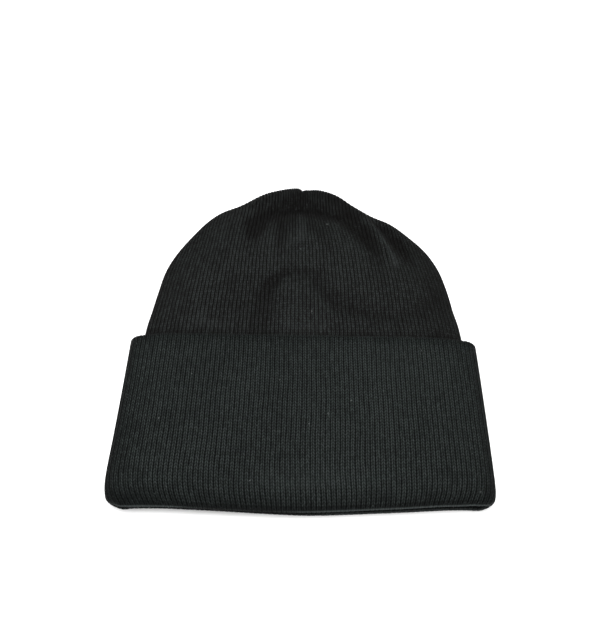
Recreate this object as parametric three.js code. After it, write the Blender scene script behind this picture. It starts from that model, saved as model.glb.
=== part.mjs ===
// A rib-knit hat with a deep turned-up cuff, lying on its back with its front up.
//
// Millimetres, +Z up. The crown points along +Y, the open rim faces -Y, and +X is to the right of
// somebody who stands at the rim. The origin is under the middle of the hat, on the surface that it
// lies on. The hat is a flattened tube of knit: a front sheet and a back sheet that meet in a round
// fold down each side, and that are closed by a seam over the top of the crown. Every wall is a
// layer of that tube, at its own depth under the outside of the piece.

import * as THREE from 'three';
import { mergeVertices } from 'three/addons/utils/BufferGeometryUtils.js';

// Walls, and the gaps between the two pieces: wall to wall, and from the crown's lower edge to the rim
const CUFF_WALL = 2.8;
const CROWN_WALL = 2.6;
const GAP = 0.3;
const RIM_GAP = 0.4;
const CROWN_DEPTH = CUFF_WALL + GAP;
const RIM_RADIUS = (CUFF_WALL + GAP + CROWN_WALL) / 2;
const CUFF_EDGE_RADIUS = CUFF_WALL / 2;

// Half the thickness of the flattened hat at its side folds
const CUFF_FOLD_RADIUS = 8;
const CROWN_FOLD_RADIUS = CUFF_FOLD_RADIUS - CROWN_DEPTH;

// How far in from its outline the front sheet has risen to its full height
const RISE_SPAN = 38;

// The cuff's side folds in plan: y, left x, right x
const CUFF_SIDES = [
  [-114, -103.6, 105.4],
  [-108, -106.9, 108.2],
  [-103, -109.2, 109.9],
  [-97, -110.4, 110.5],
  [-88, -110.4, 110.5],
  [-68, -108.9, 110.2],
  [-38, -106.9, 109.5],
  [-14, -105.5, 108.8],
  [4, -104.5, 108.0],
];

// The cuff's top edge: its place on the middle line, and how much it slants across the hat
const CUFF_TOP_Y = -7.3;
const CUFF_TOP_SLANT = -0.021;

// The rim: its foremost place, how far it has bowed back at BOW_AT from the middle, and how far each
// corner rounds off over its last stretch
const RIM_Y = -112.2;
const RIM_BOW = 4.6;
const BOW_AT = 100;
const BOW_POWER = 1.4;
const CORNER_RISE = 2.2;
const CORNER_STRETCH = 14;

// The rim isn't quite even, and its back shows under its front at the right: x, how far the front is
// moved up the hat, how far the back is
const RIM_SHIFT = [
  [-104.5, -1.1, -1.1],
  [-99, -1.3, -0.4],
  [-93, -1.0, 0.6],
  [-84, -0.5, 1.3],
  [-72, -0.1, 1.8],
  [-45, 0, 1.8],
  [-15, 0, 1.2],
  [10, 0, 0.7],
  [40, 0, 0.6],
  [57, -0.2, 0.5],
  [75, -0.2, 0.4],
  [86, -0.5, 0.1],
  [93, -0.6, -0.4],
  [98.5, -1.1, -1.1],
  [104.5, -2.2, -2.2],
];

// Inside the cuff the crown follows it, and draws in by NARROWING between these two places
const NARROWING = 5.4;
const NARROW_FROM = -84;
const NARROW_TO = -2;
const NARROW_ROWS = [-114, -108, -103, -97, -88, -68, -50, -36, -22, -11];

// The crown's sides above the cuff, up to where the closing seam starts: y, left x, right x
const CROWN_SIDES = [
  [3, -96.2, 99.6],
  [15, -94.7, 98.0],
  [31, -91.7, 95.3],
  [46.6, -88.0, 91.1],
];

// The closing seam over the top, from the left side to the right: x, y
const SEAM = [
  [-81.3, 60.5],
  [-71.5, 74.7],
  [-62.7, 85.4],
  [-53.7, 92.8],
  [-41.2, 98.8],
  [-24.7, 109.0],
  [-11.0, 113.1],
  [-2.6, 114.2],
  [1.4, 113.5],
  [4.6, 112.6],
  [13.3, 112.5],
  [25.3, 107.9],
  [36.8, 98.6],
  [49.3, 89.6],
  [61.3, 83.2],
  [72.3, 73.4],
  [83.7, 60.5],
];

// Past the start of the seam the ribs run on until it cuts them: y, outermost left x, right x
const RIB_SPREAD = [
  [60, -84.3, 87.1],
  [80, -80.3, 82.7],
  [100, -77.3, 79.5],
  [118, -75.7, 77.7],
];

// Height of the crown's front sheet along the middle line: y, z
const FRONT_HEIGHT = [
  [-115, 11.6],
  [-110, 14.3],
  [-100, 17.4],
  [-84, 18.8],
  [-50, 19.2],
  [-10, 19.2],
  [20, 19.6],
  [55, 19.9],
  [75, 19.4],
  [90, 17.0],
  [102, 13.6],
  [118, 10.4],
];

// Soft dents and bulges of the crown's front sheet. Each is an oblong: the x and y of its middle, the
// angle of its long axis from +X, half its length, half its width, and its height, below 0 for a dent
const FOLDS = [
  { name: 'hollow left of the arch', x: -38, y: 20, angle: 60, length: 20, width: 11, height: -0.9 },
  { name: 'tongue under the arch', x: -3, y: 12, angle: 84, length: 20, width: 9, height: 1.0 },
  { name: 'bulge below the closure', x: 4, y: 68, angle: 0, length: 24, width: 13, height: 1.6 },
  { name: 'left shoulder', x: -52, y: 68, angle: 125, length: 18, width: 9, height: 0.9 },
  { name: 'crease under the notch', x: 0.8, y: 101, angle: 90, length: 9, width: 3.6, height: -1.5 },
];

// Longer folds of the front sheet along a path: rows of x, y, height, below 0 for a valley, half width
const CREASES = [
  {
    name: 'arch valley',
    rows: [
      [-24.0, -5.0, -1.4, 7.0],
      [-23.0, 8.0, -1.8, 6.4],
      [-22.0, 20.7, -2.3, 5.2],
      [-19.6, 29.3, -2.5, 4.4],
      [-13.3, 35.9, -2.5, 4.4],
      [-4.4, 39.6, -2.0, 4.4],
      [4.5, 38.2, -1.7, 4.4],
      [11.4, 33.0, -1.9, 4.6],
      [17.7, 25.0, -2.1, 4.8],
      [25.0, 15.7, -2.0, 5.2],
      [36.0, 10.0, -1.8, 5.2],
      [49.5, 7.3, -1.6, 5.0],
      [63.1, 7.3, -1.4, 5.0],
      [75.7, 10.8, -1.0, 5.0],
      [84.9, 16.4, -0.4, 5.0],
    ],
  },
  {
    name: 'drop beyond the closing hump',
    rows: [
      [-32.5, 57.0, -0.6, 5.0],
      [-31.0, 65.0, -2.0, 5.5],
      [-28.0, 78.0, -3.0, 7.0],
      [-18.7, 87.5, -3.0, 6.5],
      [-2.0, 90.4, -3.2, 6.0],
      [13.4, 88.5, -3.0, 6.0],
      [29.9, 82.4, -3.2, 6.5],
      [38.2, 73.1, -3.0, 6.0],
      [46.6, 60.4, -2.2, 4.8],
      [54.1, 47.9, -0.8, 4.5],
    ],
  },
  {
    name: 'ridge on the right shoulder',
    rows: [
      [43.5, 83.0, 0.4, 3.6],
      [48.0, 76.4, 1.8, 3.6],
      [52.6, 68.5, 2.2, 3.6],
      [56.7, 59.9, 2.0, 3.6],
      [60.3, 50.7, 1.5, 3.6],
      [63.0, 41.9, 0.5, 3.6],
    ],
  },
  {
    name: 'valley outside that ridge',
    rows: [
      [51.0, 80.0, -1.0, 4.2],
      [55.6, 74.0, -2.6, 4.4],
      [61.0, 65.4, -3.0, 4.8],
      [66.2, 57.0, -2.6, 4.6],
      [71.5, 49.0, -1.0, 4.2],
    ],
  },
];

// The folds reach their full height this far in from the outline, and fade out into the cuff
const FOLD_RUN_IN = 7;
const FOLDS_FROM_Y = -9;
const FOLDS_FULL_Y = 5;

// Gathers that run down from the closure: their pitch and height, and their middle and reach
const GATHERS = { pitch: 23, height: 0.9, x: 0.5, y: 72, acrossReach: 30, alongReach: 16 };

// The notch where the seam goes over the top: its place, its depth along the hat and its reach
const NOTCH = { x: 1.9, y: 113.5, depth: 1.2, across: 3.2, along: 6 };

// Past the cuff the crown's back sinks from the cuff's back wall down to the surface
const SINK_FROM_Y = 2;
const SINK_TO_Y = 18;

// How finely the pieces are divided: steps round a quarter of a side fold, steps from there to the
// middle, rows that both pieces have inside the cuff and how they crowd towards the rim, rows of the
// crown past it and how they crowd towards the seam, from 0 to 1, and steps round the rim
const FOLD_STEPS = 4;
const CROWN_FLAT_STEPS = 17;
const CUFF_FLAT_STEPS = 9;
const CUFF_ROWS = 7;
const RIM_CROWDING = 1.3;
const SHOWN_ROWS = 20;
const SEAM_CROWDING = 0.42;
const RIM_STEPS = 6;
const OUTLINE_STEPS = 480;

const QUARTER = Math.PI / 2;

// A smooth curve through the rows of a table: column `column` at the place `at` of column 0
function through(table, column, at) {
  const last = table.length - 1;
  const place = THREE.MathUtils.clamp(at, table[0][0], table[last][0]);
  let row = 0;
  while (row < last - 1 && place > table[row + 1][0]) row += 1;
  const slope = (i) => {
    const low = Math.max(i - 1, 0);
    const high = Math.min(i + 1, last);
    return (table[high][column] - table[low][column]) / (table[high][0] - table[low][0]);
  };
  const step = table[row + 1][0] - table[row][0];
  const t = (place - table[row][0]) / step;
  const t2 = t * t;
  const t3 = t2 * t;
  return (2 * t3 - 3 * t2 + 1) * table[row][column] + (t3 - 2 * t2 + t) * step * slope(row)
    + (3 * t2 - 2 * t3) * table[row + 1][column] + (t3 - t2) * step * slope(row + 1);
}

// Inside the cuff the crown's sides keep under the cuff's, and draw in towards its top edge
function crownSideRows() {
  const inside = NARROW_ROWS.map((y) => {
    const share = Math.max(0, (y - NARROW_FROM) / (NARROW_TO - NARROW_FROM));
    const drawn = CROWN_DEPTH + NARROWING * share ** 2;
    return [y, through(CUFF_SIDES, 1, y) + drawn, through(CUFF_SIDES, 2, y) - drawn];
  });
  return [...inside, ...CROWN_SIDES];
}

const CROWN_SIDE_ROWS = crownSideRows();
const RIB_ROWS = [...CROWN_SIDE_ROWS, ...RIB_SPREAD];
const RIM_HALF = (through(CUFF_SIDES, 2, RIM_Y) - through(CUFF_SIDES, 1, RIM_Y)) / 2;

// Where each rib s, from -1 at the left fold to 1 at the right fold, runs in plan. The sheet goes
// half way round the fold at each side, so its flat width is wider than what shows by `spare`.
function ribX(table, s, y, spare) {
  const left = through(table, 1, y) - spare;
  const right = through(table, 2, y) + spare;
  return (left + right) / 2 + s * (right - left) / 2;
}

// The crown's outline in plan as short straight steps, each with the direction that points outwards
function crownOutline() {
  const left = CROWN_SIDE_ROWS.map((row) => [row[1], row[0]]);
  const right = CROWN_SIDE_ROWS.map((row) => [row[2], row[0]]).reverse();
  const corners = [...left, ...SEAM, ...right];
  let run = 0;
  const table = corners.map(([x, y], i) => {
    if (i > 0) run += Math.hypot(x - corners[i - 1][0], y - corners[i - 1][1]);
    return [run, x, y];
  });
  const at = (share) => new THREE.Vector2(through(table, 1, share * run), through(table, 2, share * run));
  const points = Array.from({ length: OUTLINE_STEPS + 1 }, (_, i) => at(i / OUTLINE_STEPS));
  return points.map((point, i) => {
    const before = points[Math.max(i - 1, 0)];
    const after = points[Math.min(i + 1, OUTLINE_STEPS)];
    const along = after.clone().sub(before).normalize();
    const outward = new THREE.Vector2(-along.y, along.x);
    return { point, outward };
  });
}

const OUTLINE = crownOutline();
const CROWN_SPARE = CROWN_FOLD_RADIUS * (QUARTER - 1);
const CUFF_SPARE = CUFF_FOLD_RADIUS * (QUARTER - 1);

// The unrolled outline is the plan outline moved out by the spare cloth of the fold
const UNROLLED = OUTLINE.map(({ point, outward }) => point.clone().addScaledVector(outward, CROWN_SPARE));

// The nearest place of a path of short straight steps: how far it is from (x, y), on which step it
// lies, and at what share of that step
function nearestOnPath(path, x, y) {
  let best = { gap: Infinity };
  for (let i = 0; i < path.length - 1; i += 1) {
    const a = path[i];
    const b = path[i + 1];
    const dot = (x - a.x) * (b.x - a.x) + (y - a.y) * (b.y - a.y);
    const t = THREE.MathUtils.clamp(dot / a.distanceToSquared(b), 0, 1);
    const gap = Math.hypot(x - a.x - t * (b.x - a.x), y - a.y - t * (b.y - a.y));
    if (gap < best.gap) best = { gap, i, t };
  }
  return best;
}

// How far the unrolled outline is from (x, y), and which way is out at its nearest place
function nearestOnOutline(x, y) {
  const { gap, i, t } = nearestOnPath(UNROLLED, x, y);
  return { gap, outward: OUTLINE[i].outward.clone().lerp(OUTLINE[i + 1].outward, t).normalize() };
}

// Where rib s meets the seam: its y on the unrolled outline
const SEAM_ENDS = UNROLLED
  .filter((point) => point.y >= CROWN_SIDES[CROWN_SIDES.length - 1][0])
  .map((point) => {
    const left = through(RIB_ROWS, 1, point.y) - CROWN_SPARE;
    const right = through(RIB_ROWS, 2, point.y) + CROWN_SPARE;
    return [(2 * point.x - left - right) / (right - left), point.y];
  });

function seamY(s) {
  let i = 0;
  while (i < SEAM_ENDS.length - 2 && s > SEAM_ENDS[i + 1][0]) i += 1;
  const [from, to] = [SEAM_ENDS[i], SEAM_ENDS[i + 1]];
  const share = THREE.MathUtils.clamp((s - from[0]) / (to[0] - from[0]), 0, 1);
  return from[1] + share * (to[1] - from[1]);
}

// The front sheet's height at a place in plan, without its folds
function frontHeight(y) {
  return through(FRONT_HEIGHT, 1, y);
}

// An oblong dent or bulge: its height times a bell curve along and across its long axis
function foldHeight(fold, x, y) {
  const turn = THREE.MathUtils.degToRad(fold.angle);
  const along = (x - fold.x) * Math.cos(turn) + (y - fold.y) * Math.sin(turn);
  const across = (y - fold.y) * Math.cos(turn) - (x - fold.x) * Math.sin(turn);
  return fold.height * Math.exp(-((along / fold.length) ** 2) - (across / fold.width) ** 2);
}

// A long fold: a bell curve of the distance to its path, with the height and half width that its
// table has at the nearest place
function creaseHeight({ rows }, x, y) {
  const path = rows.map((row) => new THREE.Vector2(row[0], row[1]));
  const { gap, i, t } = nearestOnPath(path, x, y);
  const height = THREE.MathUtils.lerp(rows[i][2], rows[i + 1][2], t);
  const halfWidth = THREE.MathUtils.lerp(rows[i][3], rows[i + 1][3], t);
  return height * Math.exp(-((gap / halfWidth) ** 2));
}

// The gathers: a cosine across the hat that fades out round their middle
function gatherHeight(x, y) {
  const reach = ((x - GATHERS.x) / GATHERS.acrossReach) ** 2 + ((y - GATHERS.y) / GATHERS.alongReach) ** 2;
  return GATHERS.height * Math.cos((2 * Math.PI * (x - GATHERS.x)) / GATHERS.pitch) * Math.exp(-reach);
}

// How high all of these stand at a place in plan. They fade out where the crown goes into the cuff.
function foldsHeight(x, y) {
  let height = gatherHeight(x, y);
  for (const fold of FOLDS) height += foldHeight(fold, x, y);
  for (const crease of CREASES) height += creaseHeight(crease, x, y);
  return height * THREE.MathUtils.smoothstep(y, FOLDS_FROM_Y, FOLDS_FULL_Y);
}

// How much of its full height the front sheet has at the distance d in from the outline
function risen(d) {
  return 1 - (1 - THREE.MathUtils.clamp(d / RISE_SPAN, 0, 1)) ** 2;
}

// The foremost y of the rim at rib s of a layer whose side folds have this radius: a bowed line with
// rounded corners and a small shift. Layers agree where they have turned the same way.
function rimY(s, radius, front) {
  const half = RIM_HALF - CUFF_FOLD_RADIUS + radius;
  const run = (1 - Math.abs(s)) * (half + radius * (QUARTER - 1));
  const angle = Math.min(run / radius, QUARTER);
  const flat = Math.max(0, run - radius * QUARTER);
  const across = Math.max(0, RIM_HALF - CUFF_FOLD_RADIUS * (1 - Math.cos(angle)) - flat);
  const fromFold = Math.min((CUFF_FOLD_RADIUS * angle + flat) / CORNER_STRETCH, 1);
  const corner = (CORNER_RISE * (1 + Math.cos(Math.PI * fromFold))) / 2;
  const shift = through(RIM_SHIFT, front ? 1 : 2, Math.sign(s) * across);
  return RIM_Y + RIM_BOW * (across / BOW_AT) ** BOW_POWER + corner + shift;
}

// One point of the cuff: rib s, place y, depth under the outside, and front or back
function cuffPoint(s, y, depth, front) {
  const left = through(CUFF_SIDES, 1, y);
  const right = through(CUFF_SIDES, 2, y);
  const halfFlat = (right - left) / 2 + CUFF_SPARE;
  const run = (1 - Math.abs(s)) * halfFlat;
  const angle = Math.min(run / CUFF_FOLD_RADIUS, QUARTER);
  const radius = CUFF_FOLD_RADIUS - depth;
  const in_ = depth + radius * (1 - Math.cos(angle)) + Math.max(0, run - CUFF_FOLD_RADIUS * QUARTER);
  const x = s < 0 ? left + in_ : right - in_;
  if (!front) return new THREE.Vector3(x, y, CUFF_FOLD_RADIUS - radius * Math.sin(angle));
  const full = frontHeight(y) + CROWN_DEPTH - 2 * CUFF_FOLD_RADIUS;
  const outerIn = CUFF_FOLD_RADIUS * (1 - Math.cos(angle)) + Math.max(0, run - CUFF_FOLD_RADIUS * QUARTER);
  return new THREE.Vector3(x, y, CUFF_FOLD_RADIUS + radius * Math.sin(angle) + full * risen(outerIn));
}

// The end of the cuff's flat wall at rib s, below its rounded top edge
function cuffWallTop(s) {
  return CUFF_TOP_Y + CUFF_TOP_SLANT * ribX(CUFF_SIDES, s, CUFF_TOP_Y, 0) - CUFF_EDGE_RADIUS;
}

// Rows along a wall inside the cuff, from where the wall starts to the cuff's top
function rowsInCuff(start, top) {
  const shares = Array.from({ length: CUFF_ROWS + 1 }, (_, i) => (i / CUFF_ROWS) ** RIM_CROWDING);
  return shares.map((share) => start + share * (top - start));
}

// Rows along the crown at rib s: those inside the cuff, and from there on to the seam
function crownRows(s, front) {
  const start = rimY(s, CROWN_FOLD_RADIUS, front) + RIM_RADIUS + RIM_GAP;
  const top = cuffWallTop(s);
  const seam = seamY(s);
  const shown = Array.from({ length: SHOWN_ROWS - 1 }, (_, i) => {
    const even = (i + 1) / SHOWN_ROWS;
    const crowded = even + SEAM_CROWDING * (Math.sin(even * QUARTER) - even);
    return top + crowded * (seam - top);
  });
  return [...rowsInCuff(start, top), ...shown, seam];
}

// One point of the crown: rib s, place y before it is rolled round its edges, depth, front or back
function crownPoint(s, y, depth, front) {
  const x = ribX(RIB_ROWS, s, y, CROWN_SPARE);
  const edge = nearestOnOutline(x, y);
  const run = Math.abs(s) === 1 || y === seamY(s) ? 0 : edge.gap;
  const angle = Math.min(run / CROWN_FOLD_RADIUS, QUARTER);
  const radius = CROWN_FOLD_RADIUS - depth;
  const flat = Math.max(0, run - CROWN_FOLD_RADIUS * QUARTER);
  const drawnIn = run - CROWN_SPARE - depth - radius * (1 - Math.cos(angle)) - flat;
  const place = new THREE.Vector2(x, y).addScaledVector(edge.outward, drawnIn);
  const lift = CROWN_DEPTH * (1 - THREE.MathUtils.smoothstep(place.y, SINK_FROM_Y, SINK_TO_Y));
  const middle = CROWN_FOLD_RADIUS + lift;
  const notch = NOTCH.depth * Math.exp(-(((place.x - NOTCH.x) / NOTCH.across) ** 2))
    * Math.exp(-(((place.y - NOTCH.y) / NOTCH.along) ** 2));
  if (!front) return new THREE.Vector3(place.x, place.y - notch, middle - radius * Math.sin(angle));
  const outerIn = CROWN_FOLD_RADIUS * (1 - Math.cos(angle)) + flat;
  const full = frontHeight(place.y) - middle - CROWN_FOLD_RADIUS;
  const folds = foldsHeight(place.x, place.y) * THREE.MathUtils.smoothstep(outerIn, 0, FOLD_RUN_IN);
  const z = middle + radius * Math.sin(angle) + full * risen(outerIn) + folds;
  return new THREE.Vector3(place.x, place.y - notch, z);
}

// The ribs at which a layer is divided, from -1 to 1: even turns round each side fold, and even steps
// from there to the middle. Layers with the same steps have their facets side by side.
function ribColumns(radius, flatSteps) {
  const half = RIM_HALF - CUFF_FOLD_RADIUS + radius;
  const fold = radius * QUARTER;
  const whole = half + radius * (QUARTER - 1);
  const folded = Array.from({ length: FOLD_STEPS }, (_, i) => (fold * i) / FOLD_STEPS);
  const flat = Array.from({ length: flatSteps }, (_, i) => fold + ((whole - fold) * i) / flatSteps);
  const right = [...folded, ...flat].map((run) => 1 - run / whole);
  return [...right.map((s) => -s), 0, ...right.reverse()];
}

// A closed body from loops of points, one loop for each column, each joined to the next
function bodyFromLoops(loops, closed) {
  const size = loops[0].length;
  const positions = new Float32Array(loops.flat().flatMap((point) => point.toArray()));
  const index = [];
  const count = closed ? loops.length : loops.length - 1;
  for (let j = 0; j < count; j += 1) {
    const here = j * size;
    const next = ((j + 1) % loops.length) * size;
    for (let k = 0; k < size; k += 1) {
      const up = (k + 1) % size;
      index.push(here + k, next + k, next + up, here + k, next + up, here + up);
    }
  }
  const raw = new THREE.BufferGeometry();
  raw.setAttribute('position', new THREE.BufferAttribute(positions, 3));
  raw.setIndex(index);
  const merged = mergeVertices(raw, 0.0005);
  const corners = merged.getIndex();
  const kept = [];
  for (let i = 0; i < corners.count; i += 3) {
    const [a, b, c] = [corners.getX(i), corners.getX(i + 1), corners.getX(i + 2)];
    if (a !== b && b !== c && c !== a) kept.push(a, b, c);
  }
  merged.setIndex(kept);
  merged.computeVertexNormals();
  return merged;
}

// The crown: each loop goes up the outside of the front, over the seam, down the outside of the back,
// round the wall's lower end, and the same way back along the inside
function crownGeometry() {
  const loops = ribColumns(CROWN_FOLD_RADIUS, CROWN_FLAT_STEPS).map((s) => {
    const up = crownRows(s, true);
    const down = crownRows(s, false).reverse();
    return [
      ...up.map((y) => crownPoint(s, y, 0, true)),
      ...down.slice(1).map((y) => crownPoint(s, y, 0, false)),
      ...down.reverse().map((y) => crownPoint(s, y, CROWN_WALL, false)),
      ...up.slice(0, -1).reverse().map((y) => crownPoint(s, y, CROWN_WALL, true)),
    ];
  });
  return bodyFromLoops(loops, false);
}

// The cuff's profile at one rib: up the outside, over the top edge, down the inside and round the rim
function cuffLoop(s, front) {
  const top = cuffWallTop(s);
  const turn = rimY(s, CUFF_FOLD_RADIUS, front) + RIM_RADIUS;
  const rows = rowsInCuff(turn, top);
  const steps = (count) => Array.from({ length: count - 1 }, (_, i) => ((i + 1) * Math.PI) / count);
  return [
    ...rows.map((y) => cuffPoint(s, y, 0, front)),
    ...steps(RIM_STEPS / 2).map((turned) => cuffPoint(
      s, top + CUFF_EDGE_RADIUS * Math.sin(turned), CUFF_EDGE_RADIUS * (1 - Math.cos(turned)), front)),
    ...rows.slice().reverse().map((y) => cuffPoint(s, y, CUFF_WALL, front)),
    cuffPoint(s, turn, 2 * RIM_RADIUS, front),
    ...steps(RIM_STEPS).map((turned) => cuffPoint(
      s, turn - RIM_RADIUS * Math.sin(turned), RIM_RADIUS * (1 + Math.cos(turned)), front)),
  ];
}

function cuffGeometry() {
  const ribs = ribColumns(CUFF_FOLD_RADIUS, CUFF_FLAT_STEPS);
  const front = ribs.map((s) => cuffLoop(s, true));
  const back = ribs.slice(1, -1).reverse().map((s) => cuffLoop(s, false));
  return bodyFromLoops([...front, ...back], true);
}

function knit(name, geometry, colour, roughness) {
  const material = new THREE.MeshStandardMaterial({ color: colour, roughness, metalness: 0 });
  const mesh = new THREE.Mesh(geometry, material);
  mesh.name = name;
  return mesh;
}

const hat = new THREE.Group();
hat.name = 'knit_hat';
hat.add(knit('crown', crownGeometry(), 0x1d1f1f, 0.95));
hat.add(knit('cuff', cuffGeometry(), 0x222524, 0.95));

export default hat;
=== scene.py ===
"""A rib-knit hat with a deep turned-up cuff, lying on its back on a pale floor.

The hat is a flattened tube of knit, a front sheet and a back sheet that meet in a round fold down each
side and are closed by a seam over the top of the crown. Its form is worked out in millimetres, in the
frame's own axes: +Z up, the crown towards +Y, the open rim towards -Y. Meshes are made in metres.
"""

import logging
import math
from dataclasses import dataclass, replace
from enum import Enum

import bpy
import numpy as np
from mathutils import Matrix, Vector
from mathutils.bvhtree import BVHTree


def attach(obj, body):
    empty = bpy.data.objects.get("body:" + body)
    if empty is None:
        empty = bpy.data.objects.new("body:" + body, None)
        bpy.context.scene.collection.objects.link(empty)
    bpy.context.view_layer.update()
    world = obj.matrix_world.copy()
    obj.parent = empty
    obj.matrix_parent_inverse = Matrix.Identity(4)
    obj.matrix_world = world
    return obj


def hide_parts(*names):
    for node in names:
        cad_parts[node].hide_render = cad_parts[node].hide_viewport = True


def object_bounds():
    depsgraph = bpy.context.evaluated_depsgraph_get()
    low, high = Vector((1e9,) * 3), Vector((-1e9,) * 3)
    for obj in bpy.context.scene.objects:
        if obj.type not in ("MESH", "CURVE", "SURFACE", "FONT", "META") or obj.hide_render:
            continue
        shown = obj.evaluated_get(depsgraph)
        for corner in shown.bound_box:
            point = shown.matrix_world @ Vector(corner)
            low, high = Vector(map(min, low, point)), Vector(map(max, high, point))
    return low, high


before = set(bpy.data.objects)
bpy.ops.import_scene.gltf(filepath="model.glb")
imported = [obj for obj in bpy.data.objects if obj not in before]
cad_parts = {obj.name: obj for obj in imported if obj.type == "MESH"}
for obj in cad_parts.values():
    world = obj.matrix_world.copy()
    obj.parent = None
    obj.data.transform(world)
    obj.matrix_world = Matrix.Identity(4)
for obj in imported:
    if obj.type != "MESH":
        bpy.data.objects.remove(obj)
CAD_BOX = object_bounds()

Array = np.ndarray
Colour = tuple[float, float, float]
Ramp = tuple[float, float, float, float]
Row = tuple[float, ...]
Socket = bpy.types.NodeSocket

LOG = logging.getLogger("knit_hat")
MM = 0.001
QUARTER = math.pi / 2
SHORTEST = 1e-9
PLACES_AT_ONCE = 4000
PLAIN_NOISE = 1.0
FINE_NOISE = 3.0
# the sockets of a Mix node that take its factor and its two colours, and the one that gives the colour
MIX_INPUTS = (0, 6, 7)
MIX_OUTPUT = 2
BODY = "root"
KNIT_MAP = "knit"
# the point attribute that holds painted shade, and below 0 painted highlight
PAINTED_SHADE_ATTRIBUTE = "hollow"

# share of the whole, length along the hat, turn from side to side, how far the back is out of step
WANDERING = ((0.5, 9.1, 6.3, 1.7), (0.3, 5.3, -17.0, 3.4), (0.2, 3.1, 41.0, 0.0))


class Sheet(Enum):
    """Which of the two sheets of the flattened hat a point lies on."""

    FRONT = 1
    BACK = -1


def bell(away: Array, reach: float) -> Array:
    """A bell curve, exp(-(away / reach)^2), which is 1 where away is 0."""
    return np.exp(-((away / reach) ** 2))


def smoothstep(value: Array, low: float, high: float) -> Array:
    """Rises from 0 at low to 1 at high along 3t^2 - 2t^3, where t is the share of the way."""
    t = np.clip((value - low) / (high - low), 0.0, 1.0)
    return t * t * (3.0 - 2.0 * t)


def rolled(run: Array, radius: float) -> tuple[Array, Array]:
    """The angle that a run of cloth goes round a fold, up to a quarter turn, and what then lies flat."""
    return np.minimum(run / radius, QUARTER), np.maximum(0.0, run - radius * QUARTER)


def unit(vectors: Array) -> Array:
    """The vectors at length 1, and 0 where they have no direction."""
    return vectors / np.maximum(np.linalg.norm(vectors, axis=-1, keepdims=True), SHORTEST)


def wandering(s: Array, y: Array, sheet: Sheet) -> Array:
    """How the ribs wander: three sines along the hat whose phase shifts slowly from rib to rib.

    Args:
        s, y: ribs from -1 to 1, and places along the hat.
        sheet: the front or the back, which wander differently.

    Returns:
        A number from about -1 to 1 at each place.
    """
    back = sheet is Sheet.BACK
    return sum(share * np.sin(y / length + turn * s + step * back) for share, length, turn, step in WANDERING)


@dataclass(frozen=True)
class Curve:
    """A smooth curve through the rows of a short table, whose first column is the place."""

    rows: tuple[Row, ...]

    def at(self, place: Array, column: int = 1) -> Array:
        """The cubic through the two rows beside each place, with slopes taken from their neighbours.

        Args:
            place: where to read the table, held inside its first and last row.
            column: which column to read.

        Returns:
            The column's value at each place.
        """
        table = np.asarray(self.rows, dtype=float)
        knots, values = table[:, 0], table[:, column]
        last = len(knots) - 1
        low = np.maximum(np.arange(last + 1) - 1, 0)
        high = np.minimum(np.arange(last + 1) + 1, last)
        slopes = (values[high] - values[low]) / (knots[high] - knots[low])
        held = np.clip(place, knots[0], knots[-1])
        row = np.clip(np.searchsorted(knots, held, side="left") - 1, 0, last - 1)
        step = knots[row + 1] - knots[row]
        t = (held - knots[row]) / step
        rise = t * t * (3 - 2 * t)
        bend = t * (t - 1) * step * ((t - 1) * slopes[row] + t * slopes[row + 1])
        return values[row] * (1 - rise) + values[row + 1] * rise + bend

    def sides(self, place: Array, spare: float = 0.0) -> tuple[Array, Array]:
        """The left and right columns at each place, each moved out by the spare."""
        return self.at(place, 1) - spare, self.at(place, 2) + spare


@dataclass(frozen=True)
class Fold:
    """A soft oblong bulge of the front, in millimetres, or a dent where its height is below 0."""

    name: str
    x: float
    y: float
    angle: float
    length: float
    width: float
    height: float

    def lift(self, x: Array, y: Array) -> Array:
        """The height times a bell curve along and across the oblong.

        Args:
            x, y: places on the hat.

        Returns:
            The lift at each place.
        """
        turn = math.radians(self.angle)
        along = (x - self.x) * math.cos(turn) + (y - self.y) * math.sin(turn)
        across = (y - self.y) * math.cos(turn) - (x - self.x) * math.sin(turn)
        return self.height * bell(along, self.length) * bell(across, self.width)


@dataclass(frozen=True)
class Crease:
    """A ridge of the front along a path, in millimetres, or a valley where its height is below 0.

    Its rows give x, y, the height and the half width.
    """

    name: str
    rows: tuple[Row, ...]

    def lift(self, x: Array, y: Array) -> Array:
        """A bell curve of the distance to the path, as high and wide as the nearest place on it.

        Args:
            x, y: places on the hat.

        Returns:
            The lift at each place.
        """
        rows = np.array(self.rows, dtype=float)
        start, step = rows[:-1], np.diff(rows, axis=0)
        off_x, off_y = x[..., None] - start[:, 0], y[..., None] - start[:, 1]
        squared = step[:, 0] ** 2 + step[:, 1] ** 2
        t = np.clip((off_x * step[:, 0] + off_y * step[:, 1]) / squared, 0.0, 1.0)
        gap = np.hypot(off_x - t * step[:, 0], off_y - t * step[:, 1])
        best = gap.argmin(axis=-1)[..., None]
        gap, t = (np.take_along_axis(part, best, axis=-1)[..., 0] for part in (gap, t))
        height, width = (start[best[..., 0], k] + t * step[best[..., 0], k] for k in (2, 3))
        return height * bell(gap, width)


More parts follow.
